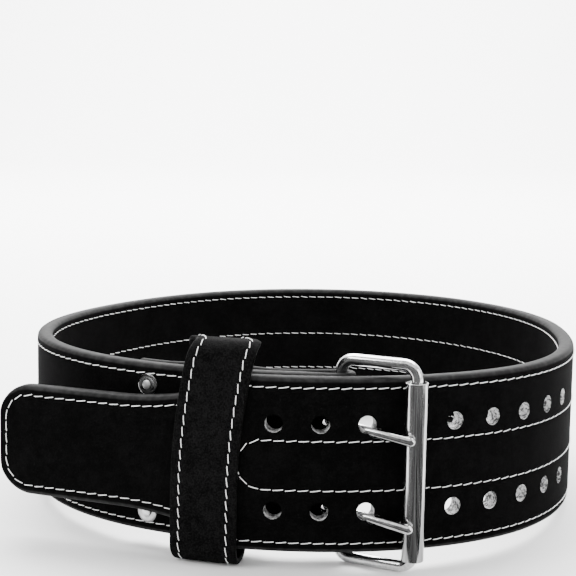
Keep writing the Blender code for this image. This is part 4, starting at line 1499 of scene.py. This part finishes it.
def add_floor():
    """White paper that lies flat and then curves up far behind the belt."""
    profile = [(-FLOOR_REACH, 0.0)]
    for turn in evenly(0, pi / 2, TURN_STEPS):
        profile.append((FLOOR_REACH + BACKDROP_TURN * sin(turn), BACKDROP_TURN * (1 - cos(turn))))
    profile.append((FLOOR_REACH + BACKDROP_TURN, BACKDROP_TOP))
    points = [(side * FLOOR_SIDE, y, z) for y, z in profile for side in (-1, 1)]
    faces = [(2 * i, 2 * i + 1, 2 * i + 3, 2 * i + 2) for i in range(len(profile) - 1)]
    material, tree, shader = new_material("floor_paper", Roughness=0.9, Specular_IOR_Level=0.1)
    tone = grain(tree, 0.5, 2.0)
    feed(tree, shader, Base_Color=mixed(tree, tone, grey(0.88), grey(0.90)))
    floor = add_object("floor", mesh_of("floor", points, faces=faces), material)
    shade_by_angle(floor, 60)


def add_dark_card():
    """Dark card in front, on the left and under the buckle. Only reflections see it."""
    corners = [(-CARD_REACH, CARD_SIDE_END), (-CARD_REACH, -CARD_REACH), (CARD_REACH, -CARD_REACH)]
    points = [(x, y, z) for z in (CARD_LOW, CARD_TOP) for x, y in corners]
    foot = ((-CARD_REACH, FOOT_START), (CARD_REACH, FOOT_START), (CARD_REACH, FOOT_EDGE),
            (FOOT_LEFT, FOOT_EDGE), (FOOT_LEFT, FOOT_START))
    points += [(x, y, CARD_LOW) for x, y in foot]
    material, tree, shader = new_material("dark_card", Roughness=0.9, Specular_IOR_Level=0.0)
    place = tree.node("ShaderNodeTexCoord").output("Object").vector("MULTIPLY", Vector((1, 0, 0)))
    stripes = grain(tree, 0.05, 2.0, place).ramp(0.42, 0.60)
    feed(tree, shader, Base_Color=mixed(tree, stripes, grey(0.004), grey(0.10)))
    faces = [(0, 1, 4, 3), (1, 2, 5, 4), (1, 2, 7, 6), (10, 7, 8, 9)]
    card = add_object("dark_card", mesh_of("dark_card", points, faces=faces), material)
    card.visible_camera = card.visible_diffuse = card.visible_shadow = False


def add_area_light(name, place, aim, size, power):
    data = bpy.data.lights.new(name, "AREA")
    data.shape = "RECTANGLE"
    data.size, data.size_y = size
    data.energy = power
    light = bpy.data.objects.new(name, data)
    light.location = place
    light.rotation_euler = (Vector(aim) - Vector(place)).to_track_quat("-Z", "Y").to_euler()
    bpy.context.scene.collection.objects.link(light)


# name, place, aim, width and height, power
LAMPS = (
    ("overhead", (0, 0.9, 1.7), (0, 0.5, 0), (2.6, 1.4), 190),
    ("backdrop_light", (0, 1.9, 2.4), (0, 3.6, 0.6), (3.0, 0.8), 500),
    ("left_box", (-1.3, -0.8, 0.9), (0, -0.1, 0.05), (0.4, 0.9), 14),
    ("right_box", (1.3, -0.7, 0.7), (0.05, -0.15, 0.05), (0.25, 0.9), 8),
)


def add_room():
    world = bpy.data.worlds.new("studio")
    world.use_nodes = True
    background = world.node_tree.nodes["Background"].inputs
    background["Color"].default_value = (1, 1, 1, 1)
    background["Strength"].default_value = ROOM_STRENGTH
    bpy.context.scene.world = world
    for lamp in LAMPS:
        add_area_light(*lamp)


add_floor()
add_dark_card()
add_room()
